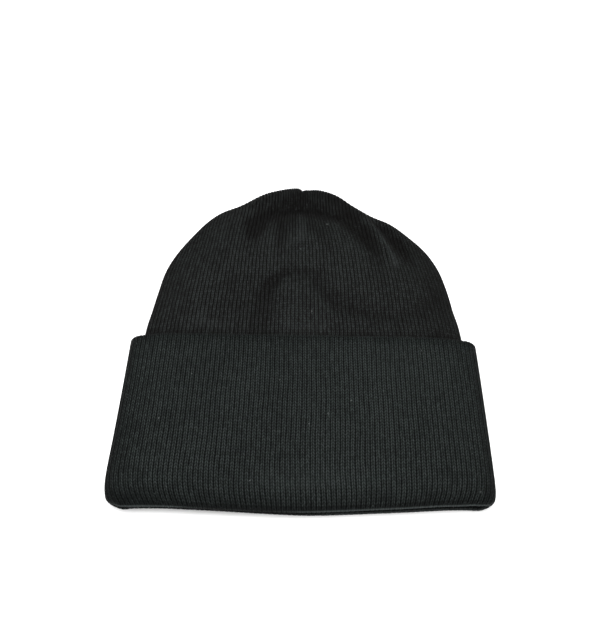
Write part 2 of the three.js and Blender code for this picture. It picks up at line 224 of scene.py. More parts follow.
@dataclass(frozen=True)
class Gathers:
    """Ripples that run down from the closure at the top, in millimetres."""

    name: str
    pitch: float
    height: float
    x: float
    y: float
    across: float
    along: float
    fan: float = 0.0
    unevenness: float = 0.0
    shade: float = 0.0
    swing: float = 2.3
    swing_along: float = 0.21

    def lift(self, x: Array, y: Array) -> Array:
        """A cosine across the hat that fans out downwards and that a slower sine shifts to and fro, faded
        out by a bell curve round the gathers' middle.

        Args:
            x, y: places on the hat.

        Returns:
            The lift at each place.
        """
        ripple = (x - self.x) / (self.pitch * (1 + self.fan * (self.y - y) / self.along))
        ripple = ripple + self.unevenness * np.sin(self.swing * ripple + self.swing_along * y)
        fade = bell(x - self.x, self.across) * bell(y - self.y, self.along)
        return self.height * np.cos(2 * math.pi * ripple) * fade

    def shelter(self, x: Array, y: Array) -> Array:
        """How much shade is painted in the ripples' low places, and below 0 how much painted highlight on
        their tops.
        """
        return -self.shade / self.height * self.lift(x, y)


@dataclass(frozen=True)
class Swerve:
    """Where ribs that run up the crown are pushed aside, in millimetres."""

    name: str
    x: float
    shift: float
    across: float
    y_from: float
    y_full: float

    def aside(self, x: Array, y: Array) -> Array:
        """The shift towards +X, faded in by a smooth step along the hat and out by a bell curve across."""
        return self.shift * smoothstep(y, self.y_from, self.y_full) * bell(x - self.x, self.across)


@dataclass
class HatForm:
    """The form that both pieces share: their outlines, heights and folds, in millimetres.

    A layer of cloth is named by its depth under the outside of its piece. A point on it is named by
    its rib s, from -1 at the left fold to 1 at the right fold, and by its place along the hat.
    """

    cuff_wall: float = 2.8
    crown_wall: float = 2.6
    gap: float = 0.3
    rim_gap: float = 0.4
    cuff_fold: float = 8.0
    rise_span: float = 38.0
    cuff_top: float = -7.3
    cuff_top_slant: float = -0.021
    rim_y: float = -112.2
    rim_bow: float = 4.6
    bow_at: float = 100.0
    bow_power: float = 1.4
    corner_rise: float = 2.2
    corner_stretch: float = 14.0
    narrowing: float = 5.4
    narrow_from: float = -84.0
    narrow_to: float = -2.0
    fold_run_in: float = 7.0
    folds_from: float = -9.0
    folds_full: float = 5.0
    sink_from: float = 2.0
    sink_to: float = 18.0
    outline_steps: int = 480

    # y, left x, right x
    cuff_sides: Curve = Curve((
        (-114, -103.6, 105.4), (-108, -106.9, 108.2), (-103, -109.2, 109.9), (-97, -110.4, 110.5),
        (-88, -110.4, 110.5), (-68, -108.9, 110.2), (-38, -106.9, 109.5), (-14, -105.5, 108.8),
        (4, -104.5, 108),
    ))
    narrow_rows: Row = (-114, -108, -103, -97, -88, -68, -50, -36, -22, -11)
    crown_sides: tuple[Row, ...] = ((3, -96.2, 99.6), (15, -94.7, 98), (31, -91.7, 95.3), (46.6, -88, 91.1))
    rib_spread: tuple[Row, ...] = (
        (60, -84.3, 87.1), (80, -80.3, 82.7), (100, -77.3, 79.5), (118, -75.7, 77.7),
    )
    # x, y
    seam: tuple[Row, ...] = (
        (-81.3, 60.5), (-71.5, 74.7), (-62.7, 85.4), (-53.7, 92.8), (-41.2, 98.8), (-24.7, 109),
        (-11, 113.1), (-2.6, 114.2), (1.4, 113.5), (4.6, 112.6), (13.3, 112.5), (25.3, 107.9),
        (36.8, 98.6), (49.3, 89.6), (61.3, 83.2), (72.3, 73.4), (83.7, 60.5),
    )
    # x, how far the rim is moved back on the front, and on the back
    rim_shift: Curve = Curve((
        (-104.5, -1.1, -1.1), (-99, -1.3, -0.4), (-93, -1, 0.6), (-84, -0.5, 1.3), (-72, -0.1, 1.8),
        (-45, 0, 1.8), (-15, 0, 1.2), (10, 0, 0.7), (40, 0, 0.6), (57, -0.2, 0.5), (75, -0.2, 0.4),
        (86, -0.5, 0.1), (93, -0.6, -0.4), (98.5, -1.1, -1.1), (104.5, -2.2, -2.2),
    ))
    # y, z
    front_height: Curve = Curve((
        (-115, 11.6), (-110, 14.3), (-100, 17.4), (-84, 18.8), (-50, 19.2), (-10, 19.2), (20, 19.6),
        (55, 19.9), (75, 19.4), (90, 17), (102, 13.6), (118, 10.4),
    ))
    # name, x, y, angle from +X, half length, half width, height
    folds: tuple[Fold, ...] = (
        Fold("hollow left of the arch", -38, 20, 60, 20, 11, -0.9),
        Fold("tongue under the arch", -3, 12, 84, 20, 9, 1),
        Fold("bulge below the closure", 4, 68, 0, 24, 13, 1.6),
        Fold("left shoulder", -52, 68, 125, 18, 9, 0.9),
        Fold("crease under the notch", 0.8, 101, 90, 9, 2.6, -1.8),
        Fold("deep place under the notch", -1, 93.2, 8, 9, 4, -1.2),
    )
    # the same, with how far it is cut back from the seam in place of the height
    notch: Fold = Fold("notch in the seam", 1.9, 113.5, 0, 1.3, 6, 1.5)
    # name, pitch, height, x, y, half width, half length, how far they fan out, unevenness, painted shade
    gathers: tuple[Gathers, ...] = (
        Gathers("wide ripples", 23, 0.9, 0.5, 72, 30, 16),
        Gathers("tight puckers", 7.4, 0.34, -8, 92, 26, 11, 0.3, 0.22, 0.16),
        Gathers("fine puckers", 4.3, 0.12, -12, 97, 30, 10, 0.3, 0.35, 0.22),
    )
    # name, x, shift, half width, where it starts and is full
    swerves: tuple[Swerve, ...] = (
        Swerve("ribs drawn to the closure from the right", 30, -6, 26, 52, 94),
        Swerve("ribs drawn to the closure from the left", -32, 4, 24, 52, 96),
    )
    # name, then rows of x, y, height, half width
    creases: tuple[Crease, ...] = (
        Crease("arch valley", (
            (-24, -5, -1.4, 7), (-23, 8, -1.8, 6.4), (-22, 20.7, -2.3, 5.2), (-19.6, 29.3, -2.6, 3.4),
            (-13.3, 35.9, -2.6, 3.2), (-4.4, 39.6, -2, 3.4), (4.5, 38.2, -1.7, 3.8), (11.4, 33, -1.9, 4.2),
            (17.7, 25, -2.1, 4.8), (25, 15.7, -2, 5.2), (36, 10, -1.8, 5.2), (49.5, 7.3, -1.6, 5),
            (63.1, 7.3, -1.4, 5), (75.7, 10.8, -1, 5), (84.9, 16.4, -0.4, 5),
        )),
        Crease("drop beyond the closing hump", (
            (-32.5, 57, -0.6, 5), (-31, 65, -2, 5.5), (-28, 78, -3, 7), (-18.7, 87.5, -3, 6.5),
            (-2, 90.4, -3.2, 6), (13.4, 88.5, -3, 6), (29.9, 82.4, -3.2, 6.5), (38.2, 73.1, -3, 6),
            (46.6, 60.4, -2.2, 4.8), (54.1, 47.9, -0.8, 4.5),
        )),
        Crease("ridge on the right shoulder", (
            (43.5, 83, 0.4, 3), (48, 76.4, 1.8, 2.8), (52.6, 68.5, 2.2, 2.8), (56.7, 59.9, 2, 2.8),
            (60.3, 50.7, 1.5, 3), (63, 41.9, 0.5, 3.5),
        )),
        Crease("valley outside that ridge", (
            (51, 80, -1, 3.5), (55.6, 74, -2.6, 4.4), (61, 65.4, -3, 4.8), (66.2, 57, -2.6, 4.6),
            (71.5, 49, -1, 4.2),
        )),
        Crease("faint arch over the arch", (
            (-18, 43, -0.2, 3.6), (-10.9, 51.9, -0.8, 3.6), (-3.2, 54.2, -0.9, 3.6), (7.8, 54.2, -0.8, 3.6),
            (16.1, 50.4, -0.7, 3.6), (22, 44, -0.2, 3.6),
        )),
        Crease("upper tuck under the closure", (
            (-26, 95, -0.1, 1.6), (-17, 97.6, -0.4, 1.5), (-6, 98.4, -0.5, 1.5), (5, 98.2, -0.2, 1.6),
        )),
        Crease("lower tuck under the closure", (
            (-24, 89.6, -0.2, 1.6), (-14, 91.6, -0.6, 1.5), (0, 92.4, -0.7, 1.5), (10, 90, -0.3, 1.6),
        )),
    )
    # name, then rows of x, y, how much shade is painted, below 0 how much painted highlight, half width
    shades: tuple[Crease, ...] = (
        Crease("gathered end", (
            (-32, 66, 0.2, 4), (-29, 78, 0.6, 8), (-20, 97, 0.65, 11), (0, 102, 0.62, 12),
            (20, 99, 0.6, 12), (36, 85, 0.55, 9), (45, 66, 0.6, 6.5), (49, 52, 0.4, 6), (51, 34, 0.25, 6),
        )),
        Crease("slope right of the closure", ((14, 108, 0.2, 6), (27, 100, 0.45, 7), (37, 90, 0.3, 6))),
        Crease("left side", (
            (-91, -2, 0.38, 12), (-87, 24, 0.34, 13), (-79, 52, 0.28, 13), (-66, 78, 0.18, 10),
            (-55, 84, 0.3, 8), (-45, 94, 0.15, 7),
        )),
        Crease("right side", ((88, -2, 0.5, 15), (86, 24, 0.45, 14), (81, 50, 0.28, 10), (70, 72, 0.25, 8))),
        Crease("slope left of the arch", ((-38, 2, 0.02, 12), (-34, 20, 0.12, 11), (-24, 36, 0.1, 8))),
        Crease("slope right of the arch", ((34, 14, 0.08, 8), (60, 10, 0.16, 9), (84, 20, 0.16, 9))),
        Crease("lit ridge on the right shoulder", (
            (44, 81, -0.4, 2), (51.6, 68.5, -0.5, 2), (57, 55.9, -0.5, 2.4), (61, 44, -0.3, 3.4),
        )),
        Crease("slope outside that ridge", (
            (55, 83, 0.55, 4), (59, 72, 0.45, 5), (65, 62, 0.45, 5.5), (71, 52, 0.2, 4),
        )),
        Crease("deep place under the notch", ((-9, 96.5, 0.5, 3.5), (-1, 97, 0.9, 3.5), (8, 96, 0.4, 3.5))),
        Crease("foot of the deep place", ((-11, 80, 0.25, 4), (-5, 78.5, 0.4, 4), (2, 79.5, 0.2, 3.5))),
        Crease("lit gather", ((1.5, 76, -0.1, 2.8), (1.5, 70, -0.22, 3.2), (-1, 60, -0.16, 4.5))),
        Crease("shaded gather, middle", ((-5, 78, 0.35, 2.6), (-4.5, 68, 0.3, 2.6))),
        Crease("shaded gather, outer left", ((-27, 78, 0.35, 4), (-25, 68, 0.3, 4))),
        Crease("shaded gather, outer right", ((15, 82, 0.25, 3), (17, 74, 0.35, 3), (19, 66, 0.15, 3))),
        Crease("painted shade patch right of the arch", ((32, 58, 0.1, 9), (38, 46, 0.14, 9))),
        Crease("painted light patch at the foot of the tongue", (
            (-10, -4, -0.25, 4), (0, -4, -0.35, 4.5), (14, -4, -0.3, 4),
        )),
        Crease("painted light patch left of the arch", ((-62, 2, -0.15, 6), (-46, 0, -0.2, 6))),
        Crease("painted shade patch beside the tongue", ((56, 0, 0.15, 6), (76, 2, 0.2, 6))),
        Crease("shaded gather, left", ((-13, 86, 0.7, 3.2), (-12.3, 72, 0.85, 3.4), (-12.3, 56, 0.5, 3.2))),
        Crease("shaded gather, right", ((8, 86, 0.45, 3.4), (9.5, 72, 0.55, 4.2), (19, 58, 0.35, 4))),
    )
    # rows of x, y, how tightly the ribs are drawn together, from 0 to 1, half width
    pursed: Crease = Crease("ribs drawn together under the seam", (
        (-40, 80, 0.3, 5), (-28, 91, 0.6, 6), (-19, 97, 0.9, 7), (-3, 99, 0.6, 7), (8, 98, 0.9, 7),
        (18, 94, 0.8, 6), (32, 85, 0.3, 5),
    ))
    # name, x, y, angle from +X, half length, half width, how much shade is painted on the cuff's front, below
    # 0 painted light
    cuff_painted_shade: tuple[Fold, ...] = (
        Fold("painted shadow patch, right", 71, -69, 0, 18, 15, 0.22),
        Fold("painted shadow patch, left", -64, -68, 0, 24, 16, 0.15),
        Fold("painted light patch", 6, -102, 0, 50, 9, -0.2),
        Fold("left corner", -92.5, -104, 0, 9, 5, 0.3),
    )

    def __post_init__(self) -> None:
        """Works out the depths, the crown's side rows and its outline from the sizes."""
        self.crown_depth = self.cuff_wall + self.gap
        self.crown_fold = self.cuff_fold - self.crown_depth
        self.rim_radius = (self.cuff_wall + self.gap + self.crown_wall) / 2
        self.crown_spare = self.crown_fold * (QUARTER - 1)
        self.cuff_spare = self.cuff_fold * (QUARTER - 1)
        inside = np.array(self.narrow_rows, dtype=float)
        share = np.maximum(0.0, (inside - self.narrow_from) / (self.narrow_to - self.narrow_from))
        left, right = self.cuff_sides.sides(inside, -self.crown_depth - self.narrowing * share**2)
        side_rows = (*zip(inside, left, right), *self.crown_sides)
        self.ribs = Curve((*side_rows, *self.rib_spread))
        left, right = self.cuff_sides.sides(np.array(self.rim_y))
        self.rim_half = float(right - left) / 2
        self._draw_outline(side_rows)

    def _draw_outline(self, side_rows: tuple[Row, ...]) -> None:
        """The crown's plan outline by run along it, moved out by the fold's spare cloth, and its seam.

        Args:
            side_rows: y, left x and right x of the crown's sides.
        """
        up = [(row[1], row[0]) for row in side_rows]
        down = [(row[2], row[0]) for row in reversed(side_rows)]
        corners = np.array([*up, *self.seam, *down])
        run = np.concatenate([[0.0], np.cumsum(np.hypot(*np.diff(corners, axis=0).T))])
        table = Curve(tuple(zip(run, corners[:, 0], corners[:, 1])))
        places = np.linspace(0.0, run[-1], self.outline_steps + 1)
        outline = np.stack([table.at(places, 1), table.at(places, 2)], axis=1)
        along = unit(np.gradient(outline, axis=0))
        self.outward = np.stack([-along[:, 1], along[:, 0]], axis=1)
        self.unrolled = outline + self.crown_spare * self.outward
        ends = self.unrolled[self.unrolled[:, 1] >= self.crown_sides[-1][0]]
        left, right = self.ribs.sides(ends[:, 1], self.crown_spare)
        self.seam_s = (2 * ends[:, 0] - left - right) / (right - left)
        self.seam_y = ends[:, 1]

    def rib_x(self, table: Curve, s: Array, y: Array, spare: float) -> Array:
        """The rib's share of the way between the left and right sides, each moved out by the spare."""
        left, right = table.sides(y, spare)
        return (left + right) / 2 + s * (right - left) / 2

    def nearest(self, x: Array, y: Array) -> tuple[Array, Array]:
        """Drops each place onto every step of the unrolled outline and keeps the nearest foot.

        Args:
            x, y: places on the hat.

        Returns:
            The distance to the outline, and the outward direction there.
        """
        start, step = self.unrolled[:-1], np.diff(self.unrolled, axis=0)
        squared = (step**2).sum(axis=1)
        places = np.stack([x.ravel(), y.ravel()], axis=1)
        gaps, outwards = [], []
        for part in np.array_split(places, max(1, len(places) // PLACES_AT_ONCE)):
            off = part[:, None, :] - start[None]
            t = np.clip((off * step).sum(axis=2) / squared, 0.0, 1.0)
            gap = np.linalg.norm(off - t[..., None] * step, axis=2)
            best = gap.argmin(axis=1)
            share = np.take_along_axis(t, best[:, None], axis=1)
            gaps.append(np.take_along_axis(gap, best[:, None], axis=1)[:, 0])
            outwards.append(self.outward[best] * (1 - share) + self.outward[best + 1] * share)
        return np.concatenate(gaps).reshape(x.shape), unit(np.concatenate(outwards)).reshape((*x.shape, 2))

    def fold_lift(self, x: Array, y: Array) -> Array:
        """The sum of all folds, creases and gathers, faded out where the crown goes into the cuff."""
        lift = sum(part.lift(x, y) for part in (*self.gathers, *self.folds, *self.creases))
        return lift * smoothstep(y, self.folds_from, self.folds_full)

    def risen(self, inward: Array) -> Array:
        """1 less the square of the share still to go: how far the front has risen, inward of the outline."""
        return 1.0 - (1.0 - np.clip(inward / self.rise_span, 0.0, 1.0)) ** 2

    def rim(self, s: Array, radius: float, sheet: Sheet) -> Array:
        """The foremost y of the rim: a bowed line with rounded corners, moved a little on each sheet.

        Args:
            s: ribs from -1 to 1.
            radius: the radius of the layer's side folds.
            sheet: the front or the back.

        Returns:
            The y of the rim at each rib.
        """
        half = self.rim_half - self.cuff_fold + radius
        angle, flat = rolled((1 - np.abs(s)) * (half + radius * (QUARTER - 1)), radius)
        across = np.maximum(0.0, self.rim_half - self.cuff_fold * (1 - np.cos(angle)) - flat)
        from_fold = np.minimum((self.cuff_fold * angle + flat) / self.corner_stretch, 1.0)
        corner = self.corner_rise * (1 + np.cos(math.pi * from_fold)) / 2
        shift = self.rim_shift.at(np.sign(s) * across, 1 if sheet is Sheet.FRONT else 2)
        return self.rim_y + self.rim_bow * (across / self.bow_at) ** self.bow_power + corner + shift

    def cuff_points(self, s: Array, y: Array, depth: Array, sheet: Sheet) -> Array:
        """A layer of the cuff: round each side fold by angle, then flat.

        Args:
            s, y, depth: ribs from -1 to 1, places along the hat and depths under the outside.
            sheet: the front or the back.

        Returns:
            The points, with x, y and z in the last axis.
        """
        left, right = self.cuff_sides.sides(y)
        angle, flat = rolled((1 - np.abs(s)) * ((right - left) / 2 + self.cuff_spare), self.cuff_fold)
        radius = self.cuff_fold - depth
        inward = depth + radius * (1 - np.cos(angle)) + flat
        x = np.where(s < 0, left + inward, right - inward)
        z = self.cuff_fold + sheet.value * radius * np.sin(angle)
        if sheet is Sheet.FRONT:
            full = self.front_height.at(y) + self.crown_depth - 2 * self.cuff_fold
            z = z + full * self.risen(self.cuff_fold * (1 - np.cos(angle)) + flat)
        return np.stack(np.broadcast_arrays(x, y, z), axis=-1)

    def crown_flat_y(self, s: Array, t: Array, sheet: Sheet) -> Array:
        """The y before the crown's sheet is rolled: from just past the turn of the rim to the seam."""
        start = self.rim(s, self.crown_fold, sheet) + self.rim_radius + self.rim_gap
        return start + t * (np.interp(s, self.seam_s, self.seam_y) - start)

    def crown_points(self, s: Array, t: Array, depth: float, sheet: Sheet) -> Array:
        """A layer of the crown: rolled round the nearest stretch of outline by angle, then flat.

        Args:
            s, t: ribs from -1 to 1, and shares of their length from the rim to the seam.
            depth: the depth under the outside.
            sheet: the front or the back.

        Returns:
            The points, with x, y and z in the last axis.
        """
        s, t = np.broadcast_arrays(s, t)
        y = self.crown_flat_y(s, t, sheet)
        x = self.rib_x(self.ribs, s, y, self.crown_spare)
        gap, outward = self.nearest(x, y)
        run = np.where((np.abs(s) >= 1) | (t >= 1), 0.0, gap)
        angle, flat = rolled(run, self.crown_fold)
        radius = self.crown_fold - depth
        drawn_in = run - self.crown_spare - depth - radius * (1 - np.cos(angle)) - flat
        x, y = x + outward[..., 0] * drawn_in, y + outward[..., 1] * drawn_in
        middle = self.crown_fold + self.crown_depth * (1 - smoothstep(y, self.sink_from, self.sink_to))
        z = middle + sheet.value * radius * np.sin(angle)
        if sheet is Sheet.FRONT:
            inward = self.crown_fold * (1 - np.cos(angle)) + flat
            full = self.front_height.at(y) - middle - self.crown_fold
            z = z + full * self.risen(inward)
            z = z + self.fold_lift(x, y) * smoothstep(inward, 0.0, self.fold_run_in)
        return np.stack([x, y - self.notch.lift(x, y), z], axis=-1)


@dataclass
class KnitRelief:
    """The relief that is cut into a knitted surface: deep gaps between ribs, and a shallow groove
    down the middle of each rib between the two legs of its stitches. In millimetres."""

    ribs: int = 82
    course: float = 1.75
    gap_depth: float = 0.75
    groove_depth: float = 0.16
    groove_width: float = 0.13
    roundness: float = 0.62

    def depth(self, rib: Array) -> Array:
        """A rounded sine arch over each rib, with a narrow bell-shaped groove along its middle.

        Args:
            rib: places counted in ribs, with whole numbers in the gaps.

        Returns:
            How far under the outside the surface lies.
        """
        within = np.mod(rib, 1.0)
        arch = np.abs(np.sin(math.pi * within)) ** self.roundness
        return self.gap_depth * (1 - arch) + self.groove_depth * bell(within - 0.5, self.groove_width)


@dataclass
class SheetGrid:
    """The front and back of one surface on grids of the same ribs, which meet at their first and last
    columns, at the folds. Places are in millimetres.

    Where it is seamed, the last rows meet too, and where it is looped, each last row is the first.
    """

    front: Array
    back: Array
    rib: Array
    course: Array
    seamed: bool = False
    looped: bool = False
    # painted shade of the front and the back, below 0 painted highlight, and the most painted shade before
    # the front's stripes are added
    painted_shading: tuple[Array | float, Array | float] = (0.0, 0.0)
    deepest: float = 1.2

    def normals(self) -> tuple[Array, Array]:
        """The cross product of the differences along the grid, with one mean normal where grids meet.

        Returns:
            The outward directions of length 1 on the front and on the back.
        """
        front, back = (
            unit(turn * np.cross(np.gradient(points, axis=1), np.gradient(points, axis=0)))
            for points, turn in ((self.front, 1.0), (self.back, -1.0))
        )
        for edge in [np.s_[:, 0], np.s_[:, -1]] + ([np.s_[-1, :]] if self.seamed else []):
            mean = unit(front[edge] + back[edge])
            front[edge], back[edge] = mean, mean
        return front, back

    def sunk(self, depth: Array) -> "SheetGrid":
        """The same surface with every point moved in along its normal by the depth there."""
        front, back = (side - normal * depth[..., None]
                       for side, normal in zip((self.front, self.back), self.normals()))
        return replace(self, front=front, back=back)

    def sheltered(
        self, painted_slope_shade: float, front_shade: Array, back_shade: Array, painted_stripes: Array | float = 0.0,
    ) -> "SheetGrid":
        """The same surface with its painted shade: shade painted for the slope away from straight up, and
        other painted shade, together held under the deepest, with the front's fine painted stripes added to
        that.

        Args:
            painted_slope_shade: how much shade is painted on an upright place.
                front_shade, back_shade: how much shade is painted at each place apart from that.
            painted_stripes: fine painted stripes on the front, shade in the gaps and below 0 highlight on the
                ribs.

        Returns:
            The new surface.
        """
        painted_shading = []
        for normal, shade, added in zip(self.normals(), (front_shade, back_shade), (painted_stripes, 0.0)):
            slope = painted_slope_shade * (1 - np.abs(normal[..., 2]))
            painted_shading.append(np.clip(np.minimum(slope + shade, self.deepest) + added, -1.0, 1.0))
        return replace(self, painted_shading=tuple(painted_shading))


def placed(name: str, data: bpy.types.ID) -> bpy.types.Object:
    """Adds an object to the scene, at the origin.

    Args:
        name: the object's name.
        data: its mesh, camera or light.

    Returns:
        The new object.
    """
    thing = bpy.data.objects.new(name, data)
    bpy.context.scene.collection.objects.link(thing)
    return thing


class MeshMaker:
    """Collects points and faces of one piece, and makes the Blender mesh of it."""

    def __init__(self) -> None:
        """Starts empty."""
        self._points: list[Array] = []
        self._painted_shading: list[Array] = []
        self._count = 0
        self._faces: list[Array] = []
        self._uvs: list[Array] = []

    def add_points(self, points: Array, hollow: Array | float = 0.0) -> Array:
        """Adds a grid of points.

        Args:
            points: their places in millimetres.
            hollow: how much shade is painted at each place, up to 1, and below 0 how much painted highlight.

        Returns:
            The grid of the points' numbers.
        """
        flat = points.reshape(-1, 3)
        numbers = np.arange(self._count, self._count + len(flat)).reshape(points.shape[:-1])
        self._points.append(flat)
        self._painted_shading.append(np.broadcast_to(hollow, points.shape[:-1]).ravel())
        self._count += len(flat)
        return numbers

    def add_faces(self, corners: Array, uvs: Array) -> None:
        """Adds faces, with one row of 3 or 4 point numbers each, and the rib and course at each corner."""
        self._faces.append(corners)
        self._uvs.append(uvs)

    def add_grid(self, numbers: Array, rib: Array, course: Array, flip: bool) -> None:
        """Adds the quads of a grid, which face its columns crossed with its rows unless flipped.

        Args:
            numbers: the grid of point numbers.
            rib, course: both counts at each point.
            flip: whether the quads face the other way.
        """
        def quads(grid: Array) -> Array:
            """The grid's values at the four corners of each quad."""
            ring = [grid[:-1, :-1], grid[:-1, 1:], grid[1:, 1:], grid[1:, :-1]]
            return np.stack([part.ravel() for part in (ring[::-1] if flip else ring)], axis=1)

        self.add_faces(quads(numbers), np.stack([quads(rib), quads(course)], axis=-1))

    def add_sheets(self, grid: SheetGrid, inside: bool = False) -> tuple[Array, Array]:
        """Adds the front and back of a surface, welded where they meet.

        Args:
            grid: the surface.
            inside: whether it faces into the hollow.

        Returns:
            The numbers of the points of the front and of the back.
        """
        front, back = map(self.add_points, (grid.front, grid.back), grid.painted_shading)
        back[:, 0], back[:, -1] = front[:, 0], front[:, -1]
        if grid.seamed:
            back[-1] = front[-1]
        if grid.looped:
            front[-1], back[-1] = front[0], back[0]
        self.add_grid(front, grid.rib, grid.course, inside)
        self.add_grid(back, grid.rib, grid.course, not inside)
        return front, back

    def add_join(self, fine: Array, coarse: Array, rib: Array, course: float, flip: bool) -> None:
        """Joins a fine row of points to a coarse one with fans of triangles.

        Args:
            fine, coarse: their numbers, with a whole number of fine steps to each coarse one.
            rib, course: the rib count along the fine row, and the course count of the join.
            flip: whether the triangles face the other way.
        """
        times = (len(fine) - 1) // (len(coarse) - 1)
        at = np.arange(len(fine) - 1)
        cell, ends = at // times, np.s_[times::times]
        fans = np.stack([fine[at], fine[at + 1], coarse[cell]], axis=1)
        fan_rib = np.stack([rib[at], rib[at + 1], rib[cell * times]], axis=1)
        closers = np.stack([fine[ends], coarse[1:], coarse[:-1]], axis=1)
        closer_rib = np.stack([rib[ends], rib[ends], rib[:-1:times]], axis=1)
        for corners, ribs in ((fans, fan_rib), (closers, closer_rib)):
            if flip:
                corners, ribs = corners[:, ::-1], ribs[:, ::-1]
            self.add_faces(corners, np.stack([ribs, np.full(ribs.shape, course)], axis=-1))

    def add_tube(self, path: Array, radius: float, sides: int) -> None:
        """Adds a closed tube: a ring across each point of the path, and a fan on a point over each end.

        Args:
            path: the points of the middle line.
            radius: the tube's radius.
            sides: how many sides it has.
        """
        along = unit(np.gradient(path, axis=0))
        aside = unit(np.cross(along, (0.0, 0.0, 1.0)))
        above = np.cross(aside, along)
        turn = np.linspace(0.0, 2 * math.pi, sides + 1)[None, :, None]
        rings = path[:, None] + radius * (np.cos(turn) * aside[:, None] + np.sin(turn) * above[:, None])
        numbers = self.add_points(rings)
        numbers[:, -1] = numbers[:, 0]
        flat = np.zeros(numbers.shape)
        self.add_grid(numbers, flat, flat, True)
        for end, beyond, flip in ((0, -radius, False), (-1, radius, True)):
            tip = self.add_points((path[end] + beyond * along[end])[None])
            fan = np.stack([numbers[end, :-1], numbers[end, 1:], np.full(sides, tip[0])], axis=1)
            self.add_faces(fan[:, ::-1] if flip else fan, np.zeros((sides, 3, 2)))

    def make(self, name: str) -> bpy.types.Object:
        """Drops unused points and makes the mesh in metres, with smooth faces and its knit UV map.

        Args:
            name: the piece's name.

        Returns:
            The new object, at the origin.
        """
        points = np.concatenate(self._points)
        used = np.unique(np.concatenate([corners.ravel() for corners in self._faces]))
        renumber = np.zeros(len(points), dtype=int)
        renumber[used] = np.arange(len(used))
        faces = [row for corners in self._faces for row in renumber[corners].tolist()]
        mesh = bpy.data.meshes.new(name)
        mesh.from_pydata((points[used] * MM).tolist(), [], faces)
        layer = mesh.uv_layers.new(name=KNIT_MAP)
        flat = np.concatenate([uvs.reshape(-1, 2) for uvs in self._uvs])
        layer.data.foreach_set("uv", flat.astype(np.float32).ravel())
        # painted shade at each point, and below 0 painted highlight
        hollow = mesh.attributes.new(PAINTED_SHADE_ATTRIBUTE, "FLOAT", "POINT")
        hollow.data.foreach_set("value", np.concatenate(self._painted_shading)[used].astype(np.float32))
        mesh.polygons.foreach_set("use_smooth", np.ones(len(mesh.polygons), dtype=bool))
        mesh.update()
        return placed(name, mesh)


def report(piece: bpy.types.Object) -> None:
    """Logs a piece's name and its count of triangles.

    Args:
        piece: the piece.
    """
    counts = np.empty(len(piece.data.polygons), dtype=np.int32)
    piece.data.polygons.foreach_get("loop_total", counts)
    LOG.info("%s: %d triangles", piece.name, int((counts - 2).sum()))


